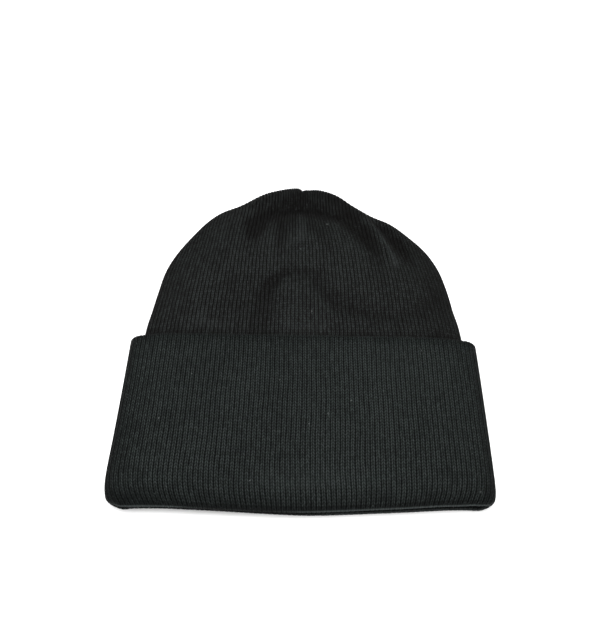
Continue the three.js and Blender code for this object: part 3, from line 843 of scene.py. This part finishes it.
@dataclass
class Crown:
    """The crown: the closed end of the tube, with its ribs on the outside and its plain inside."""

    form: HatForm
    relief: KnitRelief
    columns_per_rib: int = 6
    hidden_rows: int = 12
    shown_rows: int = 78
    hidden_share: float = 0.43
    crowding: float = 0.55
    lining_step: int = 3
    seam_sink: float = 0.55
    seam_reach: float = 1.6
    wander: float = 0.0032
    # these four set painted shade: full where a fold is this deep, on slopes, and beside the cuff's edge
    valley_full: float = 3.6
    painted_slope_shade: float = 3.0
    contact_shade: float = 0.75
    contact_reach: float = 4.0
    spread: float = 0.05
    spread_from: float = 0.55
    pursed_depth: float = 0.4
    # painted shade in the gaps and painted highlight on the ribs where they are drawn together
    pursed_shade: float = 2.2
    pursed_middle: float = 0.36

    def shares(self) -> Array:
        """Shares of a rib's length: wide steps inside the cuff, then steps that close up to the seam.

        Returns:
            The shares from 0 to 1.
        """
        even = np.linspace(0.0, 1.0, self.shown_rows + 1)
        crowded = even + self.crowding * (np.sin(even * QUARTER) - even)
        hidden = np.linspace(0.0, self.hidden_share, self.hidden_rows, endpoint=False)
        return np.concatenate([hidden, self.hidden_share + (1 - self.hidden_share) * crowded])

    def contact(self, points: Array) -> Array:
        """The shade painted on the crown beside the cuff's edge: half a bell curve that starts at the edge.
        """
        above = points[..., 1] - self.form.cuff_top - self.form.cuff_top_slant * points[..., 0]
        return self.contact_shade * bell(np.maximum(0.0, above), self.contact_reach)

    def surface(self, s: Array, t: Array, depth: float) -> SheetGrid:
        """A layer of both sheets, whose ribs wander a little and spread out towards the seam.

        Args:
            s, t: ribs from -1 to 1, and shares of their length from the rim to the seam.
            depth: the layer's depth under the outside.

        Returns:
            The layer's surface.
        """
        form = self.form
        s, t = np.meshgrid(s, t)
        inner = 1 - s**2
        sheets = []
        for sheet in Sheet:
            y = form.crown_flat_y(s, t, sheet)
            pushed = sum(swerve.aside(s * form.rim_half, y) for swerve in form.swerves) / form.rim_half
            wandered = self.wander * wandering(s, y, sheet) * (1 - t)
            spread = s * (1 + self.spread * smoothstep(t, self.spread_from, 1.0) * inner)
            moved = np.where(np.abs(s) < 1, spread + (wandered + pushed) * inner, s)
            sheets.append(form.crown_points(moved, t, depth, sheet))
        course = (form.crown_flat_y(s, t, Sheet.FRONT) - form.rim_y) / self.relief.course
        return SheetGrid(*sheets, (s + 1) / 2 * self.relief.ribs, course, seamed=True)

    def outside(self, s: Array, t: Array) -> SheetGrid:
        """The outside with its relief, its seam sunk in and its painted shade.

        The front's painted shade is summed from the cuff's edge, the folds' low places, painted bands and
        gathers.
        Where the ribs are drawn together, the gaps between them are deeper and painted darker, and the ribs
        painted lighter.

        Args:
            s, t: ribs from -1 to 1, and shares of their length from the rim to the seam.

        Returns:
            The surface.
        """
        plain = self.surface(s, t, 0.0)
        to_seam = (1 - t[:, None]) * (self.form.notch.y - self.form.rim_y)
        seam = self.seam_sink * bell(to_seam, self.seam_reach)
        x, y = plain.front[..., 0], plain.front[..., 1]
        # painted shade in the folds' low places, in painted bands, in the gathers' ripples and beside the
        # cuff's edge, below 0 painted highlight
        painted_valley_shade = np.maximum(0.0, -self.form.fold_lift(x, y) / self.valley_full)
        painted_strip_shade = sum(strip.lift(x, y) for strip in self.form.shades)
        ripples = sum(gathers.shelter(x, y) for gathers in self.form.gathers)
        pursed = self.form.pursed.lift(x, y)
        depth = self.relief.depth(plain.rib)
        painted_stripes = self.pursed_shade * pursed * (depth / self.relief.gap_depth - self.pursed_middle)
        shade = self.contact(plain.front) + painted_valley_shade + painted_strip_shade + ripples
        shaded = plain.sheltered(self.painted_slope_shade, shade, self.contact(plain.back), painted_stripes)
        return shaded.sunk(depth * (1 + self.pursed_depth * pursed) + seam)

    def build(self) -> bpy.types.Object:
        """Makes the crown's mesh: the ribbed outside, the inside, and the wall's lower end between them.

        Returns:
            The new piece.
        """
        t = self.shares()
        outside = self.outside(np.linspace(-1.0, 1.0, self.relief.ribs * self.columns_per_rib + 1), t)
        rows = np.unique(np.append(np.arange(0, len(t), self.lining_step), len(t) - 1))
        inside = self.surface(np.linspace(-1.0, 1.0, self.relief.ribs + 1), t[rows], self.form.crown_wall)
        maker = MeshMaker()
        outer, inner = maker.add_sheets(outside), maker.add_sheets(inside, inside=True)
        for fine, coarse, flip in zip(outer, inner, (True, False)):
            maker.add_join(fine[0], coarse[0], outside.rib[0], 0.0, flip)
        return maker.make("crown_knit")


@dataclass
class Cuff:
    """The turned-up cuff: its ribbed outside, its rounded top edge, and the rim that it folds round."""

    form: HatForm
    relief: KnitRelief
    columns_per_rib: int = 8
    outside_rows: int = 24
    row_crowding: float = 1.5
    edge_steps: int = 8
    inside_rows: int = 10
    rim_steps: int = 16
    wander: float = 0.003
    waves: float = 0.22
    waves_across: float = 0.7
    waves_along: float = 0.4
    corner_draw: float = 0.10
    corner_powers: tuple[int, int] = (5, 4)
    draw_reach: float = 11.0
    rim_opening: float = 0.4
    opening_reach: float = 6.0
    tight_share: float = 0.3
    tight_power: float = 3.0
    rim_fade: float = 0.6
    # painted shade: on slopes, near the rim, under the top edge and towards the sides
    painted_slope_shade: float = 2.6
    rim_shade: float = 0.5
    rim_shade_reach: float = 7.0
    edge_shade: float = 0.5
    edge_reach: float = 2.6
    side_shade: float = 0.5
    side_reach: float = 14.5
    # the angles round the rim between which a painted highlight line lies, and its painted shade, below 0 for
    # highlight
    lit_front: tuple[float, float, float] = (0.85, 2.25, -4.4)
    lit_back: tuple[float, float, float] = (0.85, 1.45, -3.2)
    lit_ramp: float = 0.2
    # a painted shadow on the back under the highlight line, and a place on the left where the painted
    # highlight is dimmer
    painted_shadow_edge: float = 1.0
    painted_shadow_ramp: float = 0.1
    highlight_dimming_share: float = 0.8
    highlight_dimming_x: float = -32.0
    highlight_dimming_reach: float = 30.0

    def profile(self, s: Array, sheet: Sheet) -> tuple[Array, Array, Array, Array, Array]:
        """The loop round the cuff's wall at each rib: up the outside, over a half-round top edge, down
        the inside, and round the rim in a half circle from the inner layer to the outer.

        Args:
            s: ribs from -1 to 1.
            sheet: the front or the back.

        Returns:
            The place along the hat, the depth, the run along the loop from the rim's end, the share of
            relief and the painted shade, in one row for each step of the loop and one column a rib.
        """
        form, length = self.form, abs(self.form.rim_y)
        edge, rim = form.cuff_wall / 2, form.rim_radius
        slant = form.cuff_top_slant * form.rib_x(form.cuff_sides, s, np.full_like(s, form.cuff_top), 0.0)
        top = form.cuff_top + slant - edge
        turn = form.rim(s, form.cuff_fold, sheet) + rim
        up = np.linspace(0.0, 1.0, self.outside_rows + 1)[:, None] ** self.row_crowding
        over = np.linspace(0.0, math.pi, self.edge_steps + 1)[1:-1, None]
        down = np.linspace(1.0, 0.0, self.inside_rows + 1)[:, None]
        round_rim = np.linspace(0.0, math.pi, self.rim_steps + 1)[:, None]
        y = np.concatenate([
            turn + up * (top - turn), top + edge * np.sin(over),
            turn + down * (top - turn), turn - rim * np.sin(round_rim),
        ])
        depth = np.concatenate([
            np.zeros_like(up), edge * (1 - np.cos(over)), np.full_like(down, form.cuff_wall),
            rim * (1 + np.cos(round_rim)),
        ])
        opened = 1 + self.rim_opening
        tight = opened - (opened - self.tight_share) * np.sin(round_rim) ** self.tight_power
        share = np.concatenate([
            1 + self.rim_opening * np.exp(-up * length / self.opening_reach), (1 + np.cos(over)) / 2,
            np.zeros_like(down), tight * smoothstep(round_rim, 0.0, self.rim_fade),
        ])
        depth, share = (np.broadcast_to(part, y.shape) for part in (depth, share))
        # painted shade along the loop: near the rim and under the top edge outside, full inside, and round
        # the rim
        shelter = np.concatenate([
            np.broadcast_to(part, (len(part), len(s))) for part in (
                self.rim_shade * bell(up * length, self.rim_shade_reach)
                + self.edge_shade * bell((1 - up) * length, self.edge_reach),
                np.full_like(over, self.edge_shade), np.ones_like(down),
                self.rim_painted_shade(s, round_rim, sheet),
            )
        ])
        steps = np.hypot(np.diff(y, axis=0), np.diff(depth, axis=0))
        run = np.concatenate([np.zeros_like(y[:1]), np.cumsum(steps, axis=0)])
        run[-len(round_rim):] -= run[-1]
        return y, depth, run, share, shelter

    def rim_painted_shade(self, s: Array, angle: Array, sheet: Sheet) -> Array:
        """The painted shade of the rim: deepest inside, with a line of painted highlight that is dimmer in a
        place on the left, and on the back a painted shadow under that line.

        Args:
            s: ribs from -1 to 1.
            angle: a column of angles round the rim, from the inner layer to the outer.
            sheet: the front or the back.

        Returns:
            The painted shade, with one row for each angle and one column for each rib.
        """
        lit_from, lit_to, lit = self.lit_front if sheet is Sheet.FRONT else self.lit_back
        line = smoothstep(angle, lit_from, lit_from + self.lit_ramp)
        line = line * (1 - smoothstep(angle, lit_to - self.lit_ramp, lit_to))
        highlight_dimming = 1 - self.highlight_dimming_share * bell(s * self.form.rim_half - self.highlight_dimming_x, self.highlight_dimming_reach)
        shade = np.interp(angle, (0.0, math.pi), (1.0, self.rim_shade)) + lit * line * highlight_dimming
        if sheet is Sheet.FRONT:
            return shade
        return shade + self.painted_shadow_edge * smoothstep(angle, lit_to - self.painted_shadow_ramp, lit_to + self.painted_shadow_ramp)

    def build(self) -> bpy.types.Object:
        """Makes the cuff's mesh from the loops of the front and the back.

        The ribs are drawn inwards at the rim's corners, and the front swells in slow waves.

        Returns:
            The new piece.
        """
        s = np.linspace(-1.0, 1.0, self.relief.ribs * self.columns_per_rib + 1)
        # painted shade towards the sides
        beside = self.side_shade * bell((1 - np.abs(s)) * self.form.rim_half, self.side_reach)
        steep, late = self.corner_powers
        drawn_in = self.corner_draw * s**steep * (1 - s**late)
        sheets, shades = [], []
        for sheet in Sheet:
            y, depth, run, share, shelter = self.profile(s - drawn_in, sheet)
            ribs = np.broadcast_to(s, y.shape)
            moved = ribs + self.wander * wandering(ribs, y, sheet) * (1 - ribs**2)
            moved = moved - drawn_in * bell(y - self.form.rim_y, self.draw_reach)
            points = self.form.cuff_points(moved, y, depth, sheet)
            if sheet is Sheet.FRONT:
                swell = wandering(ribs * self.waves_across, y * self.waves_along, Sheet.BACK)
                points[..., 2] += self.waves * (1 - ribs**2) * swell
            sheets.append(points)
            shades.append(shelter + beside)
        rib = (ribs + 1) / 2 * self.relief.ribs
        surface = SheetGrid(*sheets, rib, -run / self.relief.course, looped=True)
        x, y = surface.front[..., 0], surface.front[..., 1]
        # painted shade and painted light on the cuff's front
        shades[0] += sum(mark.lift(x, y) for mark in self.form.cuff_painted_shade)
        surface = surface.sheltered(self.painted_slope_shade, *shades).sunk(self.relief.depth(rib) * share)
        maker = MeshMaker()
        maker.add_sheets(surface)
        return maker.make("cuff_knit")


@dataclass
class Lint:
    """Specks of loose fibre caught on the knit: each is a few short curled strands in a small tuft."""

    strands: int = 4
    strand_length: float = 1.2
    strand_radius: float = 0.055
    least_radius: float = 0.6
    steps: int = 7
    sides: int = 5
    stand: float = 0.1
    drop_from: float = 100.0
    most_turn: float = 0.9
    rise: tuple[float, float] = (-0.02, 0.05)
    scatter: float = 0.25
    seed: int = 11

    # x, y, size
    specks: tuple[Row, ...] = (
        (17.8, 74.5, 1.3), (0.7, 55, 0.9), (7.4, 9.7, 0.6), (-33, 31, 0.5), (61, 22, 0.5),
        (-63.7, -33.1, 0.7), (-11.7, -36.9, 0.7), (72.6, -18.1, 0.9), (5.2, -64, 0.7), (-80.8, -60.4, 0.7),
        (29.6, -50, 0.9), (-27.5, -96.3, 0.7), (16.2, -58, 0.9), (99.5, -101.6, 0.9),
    )

    def build(self, pieces: list[bpy.types.Object]) -> bpy.types.Object:
        """Makes the strands: tubes round a random walk of slow turns, laid on the surface under them.

        Args:
            pieces: the pieces that the specks lie on.

        Returns:
            The new piece.
        """
        draw = np.random.default_rng(self.seed)
        bpy.context.view_layer.update()
        scene = bpy.context.evaluated_depsgraph_get()
        hosts = [BVHTree.FromObject(piece, scene) for piece in pieces]
        maker = MeshMaker()
        for x, y, size in self.specks:
            base = self.seat(hosts, x, y)
            radius = self.strand_radius * (self.least_radius + (1 - self.least_radius) * size)
            for _ in range(self.strands):
                maker.add_tube(base + self.strand(draw, size), radius, self.sides)
        return maker.make("lint_specks")

    def seat(self, hosts: list[BVHTree], x: float, y: float) -> Array:
        """Where a straight line down first meets a piece, a little above its surface.

        Args:
            hosts: the search trees of the pieces.
            x, y: the place on the hat.

        Returns:
            The place in millimetres.
        """
        above, down = Vector((x * MM, y * MM, self.drop_from * MM)), Vector((0.0, 0.0, -1.0))
        hits = [hit[0].z for hit in (host.ray_cast(above, down) for host in hosts) if hit[0] is not None]
        return np.array([x, y, max(hits) / MM + self.stand])

    def strand(self, draw: np.random.Generator, size: float) -> Array:
        """A path round the speck's middle whose direction turns by a random share at each step.

        Args:
            draw: the source of random numbers.
            size: the speck's size as a share of a whole one.

        Returns:
            The points in millimetres, with the speck's seat at 0.
        """
        start = draw.uniform(-math.pi, math.pi)
        turns = start + np.cumsum(draw.uniform(-self.most_turn, self.most_turn, self.steps))
        rises = np.cumsum(draw.uniform(*self.rise, self.steps + 1))
        step = self.strand_length * size / self.steps
        x, y = (np.concatenate([[0.0], np.cumsum(part * step)]) for part in (np.cos(turns), np.sin(turns)))
        middle = draw.uniform(-self.scatter, self.scatter, 2) * size
        return np.stack([x - x.mean() + middle[0], y - y.mean() + middle[1], rises], axis=1)


@dataclass
class Nodes:
    """Writes shader nodes as sums: each method adds a node and gives back its output."""

    tree: bpy.types.NodeTree

    def add(self, kind: str, **settings: object) -> bpy.types.Node:
        """Adds a node.

        Args:
            kind: its type.
            settings: its properties.

        Returns:
            The new node.
        """
        node = self.tree.nodes.new(kind)
        for name, value in settings.items():
            setattr(node, name, value)
        return node

    def feed(self, socket: Socket, value: object) -> None:
        """Links a socket to the value, or sets it where the value is a number or a row of numbers."""
        if isinstance(value, Socket):
            self.tree.links.new(value, socket)
        else:
            socket.default_value = value

    def fed(self, node: bpy.types.Node, *values: object) -> Socket:
        """Feeds a node's first inputs in turn, and gives back its first output."""
        for socket, value in zip(node.inputs, values):
            self.feed(socket, value)
        return node.outputs[0]

    def math(self, operation: str, *values: object) -> Socket:
        """Adds a Math node on up to three values."""
        return self.fed(self.add("ShaderNodeMath", operation=operation), *values)

    def ramp(self, value: Socket, *ends: object) -> Socket:
        """Adds a smooth Map Range, whose ends are from low and high, and to low and high."""
        return self.fed(self.add("ShaderNodeMapRange", interpolation_type="SMOOTHSTEP"), value, *ends)

    def vector(self, *parts: object) -> Socket:
        """Adds a Combine XYZ of two or three parts."""
        return self.fed(self.add("ShaderNodeCombineXYZ"), *parts)

    def noise(self, vector: Socket, scale: float, detail: float = 2.0) -> Socket:
        """Adds a Noise Texture and gives back its value."""
        return self.fed(self.add("ShaderNodeTexNoise"), vector, 0.0, scale, detail)

    def mix(self, share: Socket, *colours: object) -> Socket:
        """Adds a Mix of two colours.

        Args:
            share: how much of the second colour shows.
            colours: the two, each a socket or a colour.

        Returns:
            The mixed colour.
        """
        node = self.add("ShaderNodeMix", data_type="RGBA")
        whole = (colour if isinstance(colour, Socket) else (*colour, 1.0) for colour in colours)
        for place, value in zip(MIX_INPUTS, (share, *whole)):
            self.feed(node.inputs[place], value)
        return node.outputs[MIX_OUTPUT]

    def bump(self, height: Socket, distance: float, normal: Socket | None = None) -> Socket:
        """Adds a Bump.

        Args:
            height: the height, from 0 to 1.
            distance: how high 1 stands, in metres.
            normal: the normal that it is laid on, if there is one.

        Returns:
            The new normal.
        """
        node = self.add("ShaderNodeBump")
        for name, value in (("Distance", distance), ("Height", height), ("Normal", normal)):
            if value is not None:
                self.feed(node.inputs[name], value)
        return node.outputs[0]


class NodeGroup:
    """A shader node group whose inputs and outputs are numbers with names."""

    def __init__(self, name: str, inputs: tuple[str, ...], outputs: tuple[str, ...]) -> None:
        """Makes the group's sockets.

        Args:
            name: the group's name.
            inputs, outputs: the names of its sockets.
        """
        self.tree = bpy.data.node_groups.new(name, "ShaderNodeTree")
        for way, labels in (("INPUT", inputs), ("OUTPUT", outputs)):
            for label in labels:
                self.tree.interface.new_socket(label, in_out=way, socket_type="NodeSocketFloat")
        self.nodes = Nodes(self.tree)
        given = self.nodes.add("NodeGroupInput").outputs
        self.inputs = [given[label] for label in inputs]
        self.outputs = self.nodes.add("NodeGroupOutput").inputs

    def put(self, label: str, value: Socket) -> None:
        """Sends a value to a named output."""
        self.nodes.feed(self.outputs[label], value)

    def placed(self, nodes: Nodes, **values: float) -> bpy.types.bpy_prop_collection:
        """Places the group in a material.

        Args:
            nodes: the material's nodes.
            values: the group's inputs.

        Returns:
            The placed group's outputs.
        """
        node = nodes.add("ShaderNodeGroup", node_tree=self.tree)
        for name, value in values.items():
            nodes.feed(node.inputs[name], value)
        return node.outputs


@dataclass(frozen=True)
class Stitches:
    """V-shaped knit stitches on the knit map, whose x counts ribs and whose y counts courses.

    Each ramp is given by from low and high, and to low and high.
    """

    lean: float = 1.0
    unevenness: float = 0.35
    unevenness_scale: float = 0.9
    leg_roundness: float = 0.6
    leg_ramp: Ramp = (0.3, 0.9, 0.1, 1.0)
    middle_width: float = 0.34
    gap_end: float = 0.94
    loose_scale: float = 2.1
    loose_stretch: float = 0.45
    loose_middle: Ramp = (0.3, 0.7, 0.0, 0.35)
    loose_gap: Ramp = (0.35, 0.65, 0.3, 0.0)
    mean_tone: float = 0.95
    fibre_scale: float = 5.0
    fibre_stretch: float = 0.6

    def group(self) -> NodeGroup:
        """Makes the node group.

        The distance from the rib's middle, from 0 to 1 at the gap, shifts the course count, so that the
        rows of stitches lean away from the middle on both sides. Each leg is a sine bump across itself,
        and falls off towards the rib's middle and towards the gap, more in some places than in others.
        Every leg is a little lighter or darker than the next. Fine noise along the leg makes its fibres.

        Returns:
            The group, with a height, a painted shade that is 0 deep between the yarns, times a random tone,
            and the fibres.
        """
        group = NodeGroup(
            "knit_stitches", ("gap", "middle_light", "patchiness", "contrast"), ("Height", "Shade", "Fibre"),
        )
        n = group.nodes
        gap_start, middle_light, patchiness, contrast = group.inputs
        uv = n.add("ShaderNodeUVMap", uv_map=KNIT_MAP).outputs[0]
        split = n.add("ShaderNodeSeparateXYZ")
        n.feed(split.inputs[0], uv)
        rib = split.outputs[0]
        uneven = n.math("SUBTRACT", n.noise(uv, self.unevenness_scale, PLAIN_NOISE), 0.5)
        course = n.math("MULTIPLY_ADD", uneven, self.unevenness, split.outputs[1])
        across = n.math("SUBTRACT", n.math("FRACT", rib), 0.5)
        side = n.math("MULTIPLY", n.math("ABSOLUTE", across), 2.0)
        leaned = n.math("MULTIPLY_ADD", side, -self.lean, course)
        bump = n.math("SINE", n.math("MULTIPLY", n.math("FRACT", leaned), math.pi))
        leg = n.math("POWER", bump, self.leg_roundness)
        stretched = n.vector(rib, n.math("MULTIPLY", course, self.loose_stretch))
        loose = n.noise(stretched, self.loose_scale, PLAIN_NOISE)
        light = n.math("ADD", n.ramp(loose, *self.loose_middle), middle_light)
        middle = n.ramp(side, 0.0, self.middle_width, light, 1.0)
        gap = n.ramp(side, gap_start, self.gap_end, 1.0, n.ramp(loose, *self.loose_gap))
        rounded = n.math("MULTIPLY", middle, gap)
        cell = n.add("ShaderNodeTexWhiteNoise", noise_dimensions="2D")
        leg_number = n.math("FLOOR", n.math("MULTIPLY", rib, 2.0))
        n.feed(cell.inputs["Vector"], n.vector(leg_number, n.math("FLOOR", leaned)))
        least_tone = n.math("MULTIPLY_ADD", patchiness, -0.5, self.mean_tone)
        tone = n.math("MULTIPLY_ADD", cell.outputs["Value"], patchiness, least_tone)
        drawn_out = n.vector(n.math("MULTIPLY", rib, self.fibre_stretch), leaned, across)
        # painted shade: light on each leg's middle, deep between the yarns and at the rib's middle, times a
        # random tone
        shade = n.math("MULTIPLY", n.ramp(leg, *self.leg_ramp), rounded)
        group.put("Height", n.math("MULTIPLY_ADD", leg, 0.5, n.math("MULTIPLY", rounded, 0.5)))
        group.put("Shade", n.math("POWER", n.math("MULTIPLY", shade, tone), contrast))
        group.put("Fibre", n.noise(drawn_out, self.fibre_scale, FINE_NOISE))
        return group


@dataclass(frozen=True)
class Heather:
    """Uneven dye and wear: broad clouds and small flecks from noise on object coordinates."""

    cloud_scale: float = 22.0
    cloud_ramp: Ramp = (0.3, 0.7, 0.0, 1.0)
    fleck_scale: float = 900.0
    fleck_ramp: Ramp = (0.62, 0.78, 0.0, 1.0)

    def group(self) -> NodeGroup:
        """Makes the node group.

        Returns:
            The group, with a cloud value and a fleck value, each from 0 to 1.
        """
        group = NodeGroup("heathered_yarn", (), ("Cloud", "Fleck"))
        place = group.nodes.add("ShaderNodeTexCoord").outputs["Object"]
        cloud = group.nodes.noise(place, self.cloud_scale, FINE_NOISE)
        fleck = group.nodes.noise(place, self.fleck_scale, PLAIN_NOISE)
        group.put("Cloud", group.nodes.ramp(cloud, *self.cloud_ramp))
        group.put("Fleck", group.nodes.ramp(fleck, *self.fleck_ramp))
        return group


def new_material(name: str, roughness: float, specular: float) -> tuple[bpy.types.Material, Nodes, Socket]:
    """Makes a matt material.

    Args:
        name: its name.
        roughness, specular: its shader's roughness and specular level.

    Returns:
        The material, its nodes and its shader's inputs.
    """
    material = bpy.data.materials.new(name)
    material.use_nodes = True
    inputs = material.node_tree.nodes["Principled BSDF"].inputs
    inputs["Roughness"].default_value = roughness
    inputs["Specular IOR Level"].default_value = specular
    return material, Nodes(material.node_tree), inputs


@dataclass(frozen=True)
class KnitFinish:
    """A matt knitted yarn: its colours, the look of its stitches, and the light and shade painted into its
    colour.
    """

    name: str
    # dark: the painted shade between the yarns and in shaded places, with the random clouds and tones; light:
    # the yarn fully lit; fleck: pale fibres, and the painted highlight
    dark: Colour
    light: Colour
    fleck: Colour
    stitch_height: float
    gap: float
    middle_light: float
    contrast: float
    patchiness: float
    # how far painted shade darkens at most, and how far painted highlight goes towards the fleck colour
    painted_shade_darkest: float = 0.3
    painted_highlight_share: float = 0.5
    cloud_light: float = 0.82
    fleck_ramp: Ramp = (0.4, 0.6, 0.0, 0.6)
    roughness: float = 0.7
    specular: float = 0.04
    fibre_height: float = 0.00012

    def material(self, stitches: NodeGroup, heather: NodeGroup) -> bpy.types.Material:
        """Painted light on the legs of the stitches and painted shade between the yarns, darker in random
        clouds and where the hollow attribute paints shade, and towards the fleck's colour as painted
        highlight and on a few fibres.

        Args:
            stitches: the group that draws the stitches.
            heather: the group that makes the yarn uneven.

        Returns:
            The new material.
        """
        material, nodes, inputs = new_material(self.name, self.roughness, self.specular)
        knit = stitches.placed(nodes, gap=self.gap, middle_light=self.middle_light,
                               patchiness=self.patchiness, contrast=self.contrast)
        yarn = heather.placed(nodes)
        # painted shade from the hollow attribute, and below 0 painted highlight towards the fleck colour
        hollow = nodes.add("ShaderNodeAttribute", attribute_name=PAINTED_SHADE_ATTRIBUTE).outputs["Fac"]
        painted_shade_amount = nodes.math("MAXIMUM", hollow, 0.0)
        painted_shade_factor = nodes.math("MULTIPLY_ADD", painted_shade_amount, self.painted_shade_darkest - 1.0, 1.0)
        caught = nodes.math("MULTIPLY", nodes.math("MINIMUM", hollow, 0.0), -self.painted_highlight_share)
        cloud = nodes.ramp(yarn["Cloud"], 0.0, 1.0, self.cloud_light, 1.0)
        lit = nodes.math("MULTIPLY", nodes.math("MULTIPLY", knit["Shade"], cloud), painted_shade_factor)
        colour = nodes.mix(caught, nodes.mix(lit, self.dark, self.light), self.fleck)
        flecked = nodes.math("MULTIPLY", yarn["Fleck"], nodes.ramp(knit["Fibre"], *self.fleck_ramp))
        nodes.feed(inputs["Base Color"], nodes.mix(flecked, colour, self.fleck))
        fibres = nodes.bump(knit["Fibre"], self.fibre_height)
        nodes.feed(inputs["Normal"], nodes.bump(knit["Height"], self.stitch_height, fibres))
        return material


@dataclass(frozen=True)
class LintFinish:
    """A pale matt fibre, a little greyer in places by noise on object coordinates."""

    grey: Colour = (0.07, 0.075, 0.075)
    pale: Colour = (0.14, 0.15, 0.15)
    scale: float = 700.0
    ramp: Ramp = (0.35, 0.65, 0.0, 1.0)
    roughness: float = 0.8
    specular: float = 0.1

    def material(self) -> bpy.types.Material:
        """Makes the material.

        Returns:
            The new material.
        """
        material, nodes, inputs = new_material("lint", self.roughness, self.specular)
        place = nodes.add("ShaderNodeTexCoord").outputs["Object"]
        shades = nodes.ramp(nodes.noise(place, self.scale), *self.ramp)
        nodes.feed(inputs["Base Color"], nodes.mix(shades, self.grey, self.pale))
        return material


@dataclass
class Studio:
    """The camera, the pale floor and the soft light. Lengths in metres, angles in degrees."""

    camera_place: tuple[float, float, float] = (0.00035, -0.20709, 0.42902)
    camera_tilt: float = 28.0
    lens: float = 43.55
    nearest_seen: float = 0.01
    floor_half: float = 0.65
    floor_colour: Colour = (0.93, 0.93, 0.93)
    floor_roughness: float = 0.9
    floor_specular: float = 0.1
    sky_colour: Colour = (1.0, 1.0, 1.0)
    sky_strength: float = 0.15
    sky_seen: float = 1.0
    lamp_place: tuple[float, float, float] = (0.0, -0.1, 1.1)
    lamp_size: float = 0.8
    lamp_power: float = 26.0

    def place_camera(self) -> None:
        """Makes the camera and makes it the scene's."""
        data = bpy.data.cameras.new("camera")
        data.lens = self.lens
        data.clip_start = self.nearest_seen
        camera = placed("camera", data)
        camera.location = self.camera_place
        camera.rotation_euler = (math.radians(self.camera_tilt), 0.0, 0.0)
        bpy.context.scene.camera = camera

    def lay_floor(self) -> None:
        """Makes the floor: a flat grid of four quads at the hat's underside."""
        side = np.linspace(-self.floor_half, self.floor_half, 3)
        x, y = np.meshgrid(side, side)
        points = np.stack([x, y, np.full_like(x, float(CAD_BOX[0][2]))], axis=-1)
        maker = MeshMaker()
        maker.add_grid(maker.add_points(points / MM), x, y, False)
        floor = maker.make("floor")
        material, _, inputs = new_material("pale_floor", self.floor_roughness, self.floor_specular)
        inputs["Base Color"].default_value = (*self.floor_colour, 1.0)
        floor.data.materials.append(material)

    def light(self) -> None:
        """Makes an even sky and one large soft lamp overhead, and shows colours as they are.

        The sky lights the hat softly, and itself looks as pale as the floor.
        """
        world = bpy.data.worlds.new("studio")
        world.use_nodes = True
        nodes = Nodes(world.node_tree)
        seen = nodes.add("ShaderNodeLightPath").outputs["Is Camera Ray"]
        strength = nodes.math("MULTIPLY_ADD", seen, self.sky_seen - self.sky_strength, self.sky_strength)
        backdrop = world.node_tree.nodes["Background"].inputs
        backdrop["Color"].default_value = (*self.sky_colour, 1.0)
        nodes.feed(backdrop["Strength"], strength)
        bpy.context.scene.world = world
        data = bpy.data.lights.new("overhead", "AREA")
        data.shape = "DISK"
        data.size = self.lamp_size
        data.energy = self.lamp_power
        placed("overhead", data).location = self.lamp_place
        bpy.context.scene.view_settings.view_transform = "Standard"


def plain(box: object) -> list[list[float]]:
    """A box as plain lists of numbers."""
    return [[float(value) for value in corner] for corner in box]


def main() -> None:
    """Builds the studio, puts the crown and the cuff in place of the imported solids, and adds the lint."""
    logging.basicConfig(level=logging.INFO, format="%(name)s: %(message)s")
    studio = Studio()
    studio.place_camera()
    studio.lay_floor()
    studio.light()
    form = HatForm()
    crown = Crown(form, KnitRelief())
    cuff = Cuff(form, KnitRelief(gap_depth=0.7, groove_depth=0.22, groove_width=0.17))
    # the crown's colours are a little darker than the cuff's: painted shade for its tighter, deeper ribs
    crown_finish = KnitFinish(
        "crown_knit", dark=(0.0019, 0.0014, 0.0014), light=(0.0242, 0.0283, 0.0274),
        fleck=(0.05, 0.055, 0.055), stitch_height=0.0005, gap=0.5, middle_light=0.35,
        contrast=1.65, patchiness=0.6,
    )
    cuff_finish = KnitFinish(
        "cuff_knit", dark=(0.0014, 0.0016, 0.0016), light=(0.0262, 0.0318, 0.0303),
        fleck=(0.06, 0.07, 0.07), stitch_height=0.00055, gap=0.6, middle_light=0.2,
        contrast=1.7, patchiness=0.42,
    )
    stitches, heather = Stitches().group(), Heather().group()
    pieces = []
    for part, node, slot, finish in (
        (crown, "crown", "crown_knit", crown_finish),
        (cuff, "cuff", "cuff_knit", cuff_finish),
    ):
        piece = part.build()
        piece.data.materials.append(finish.material(stitches, heather))
        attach(piece, BODY)
        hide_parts(node)
        report(piece)
        pieces.append(piece)
    lint = Lint().build(pieces)
    lint.data.materials.append(LintFinish().material())
    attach(lint, BODY)
    report(lint)


if __name__ == "__main__":
    main()
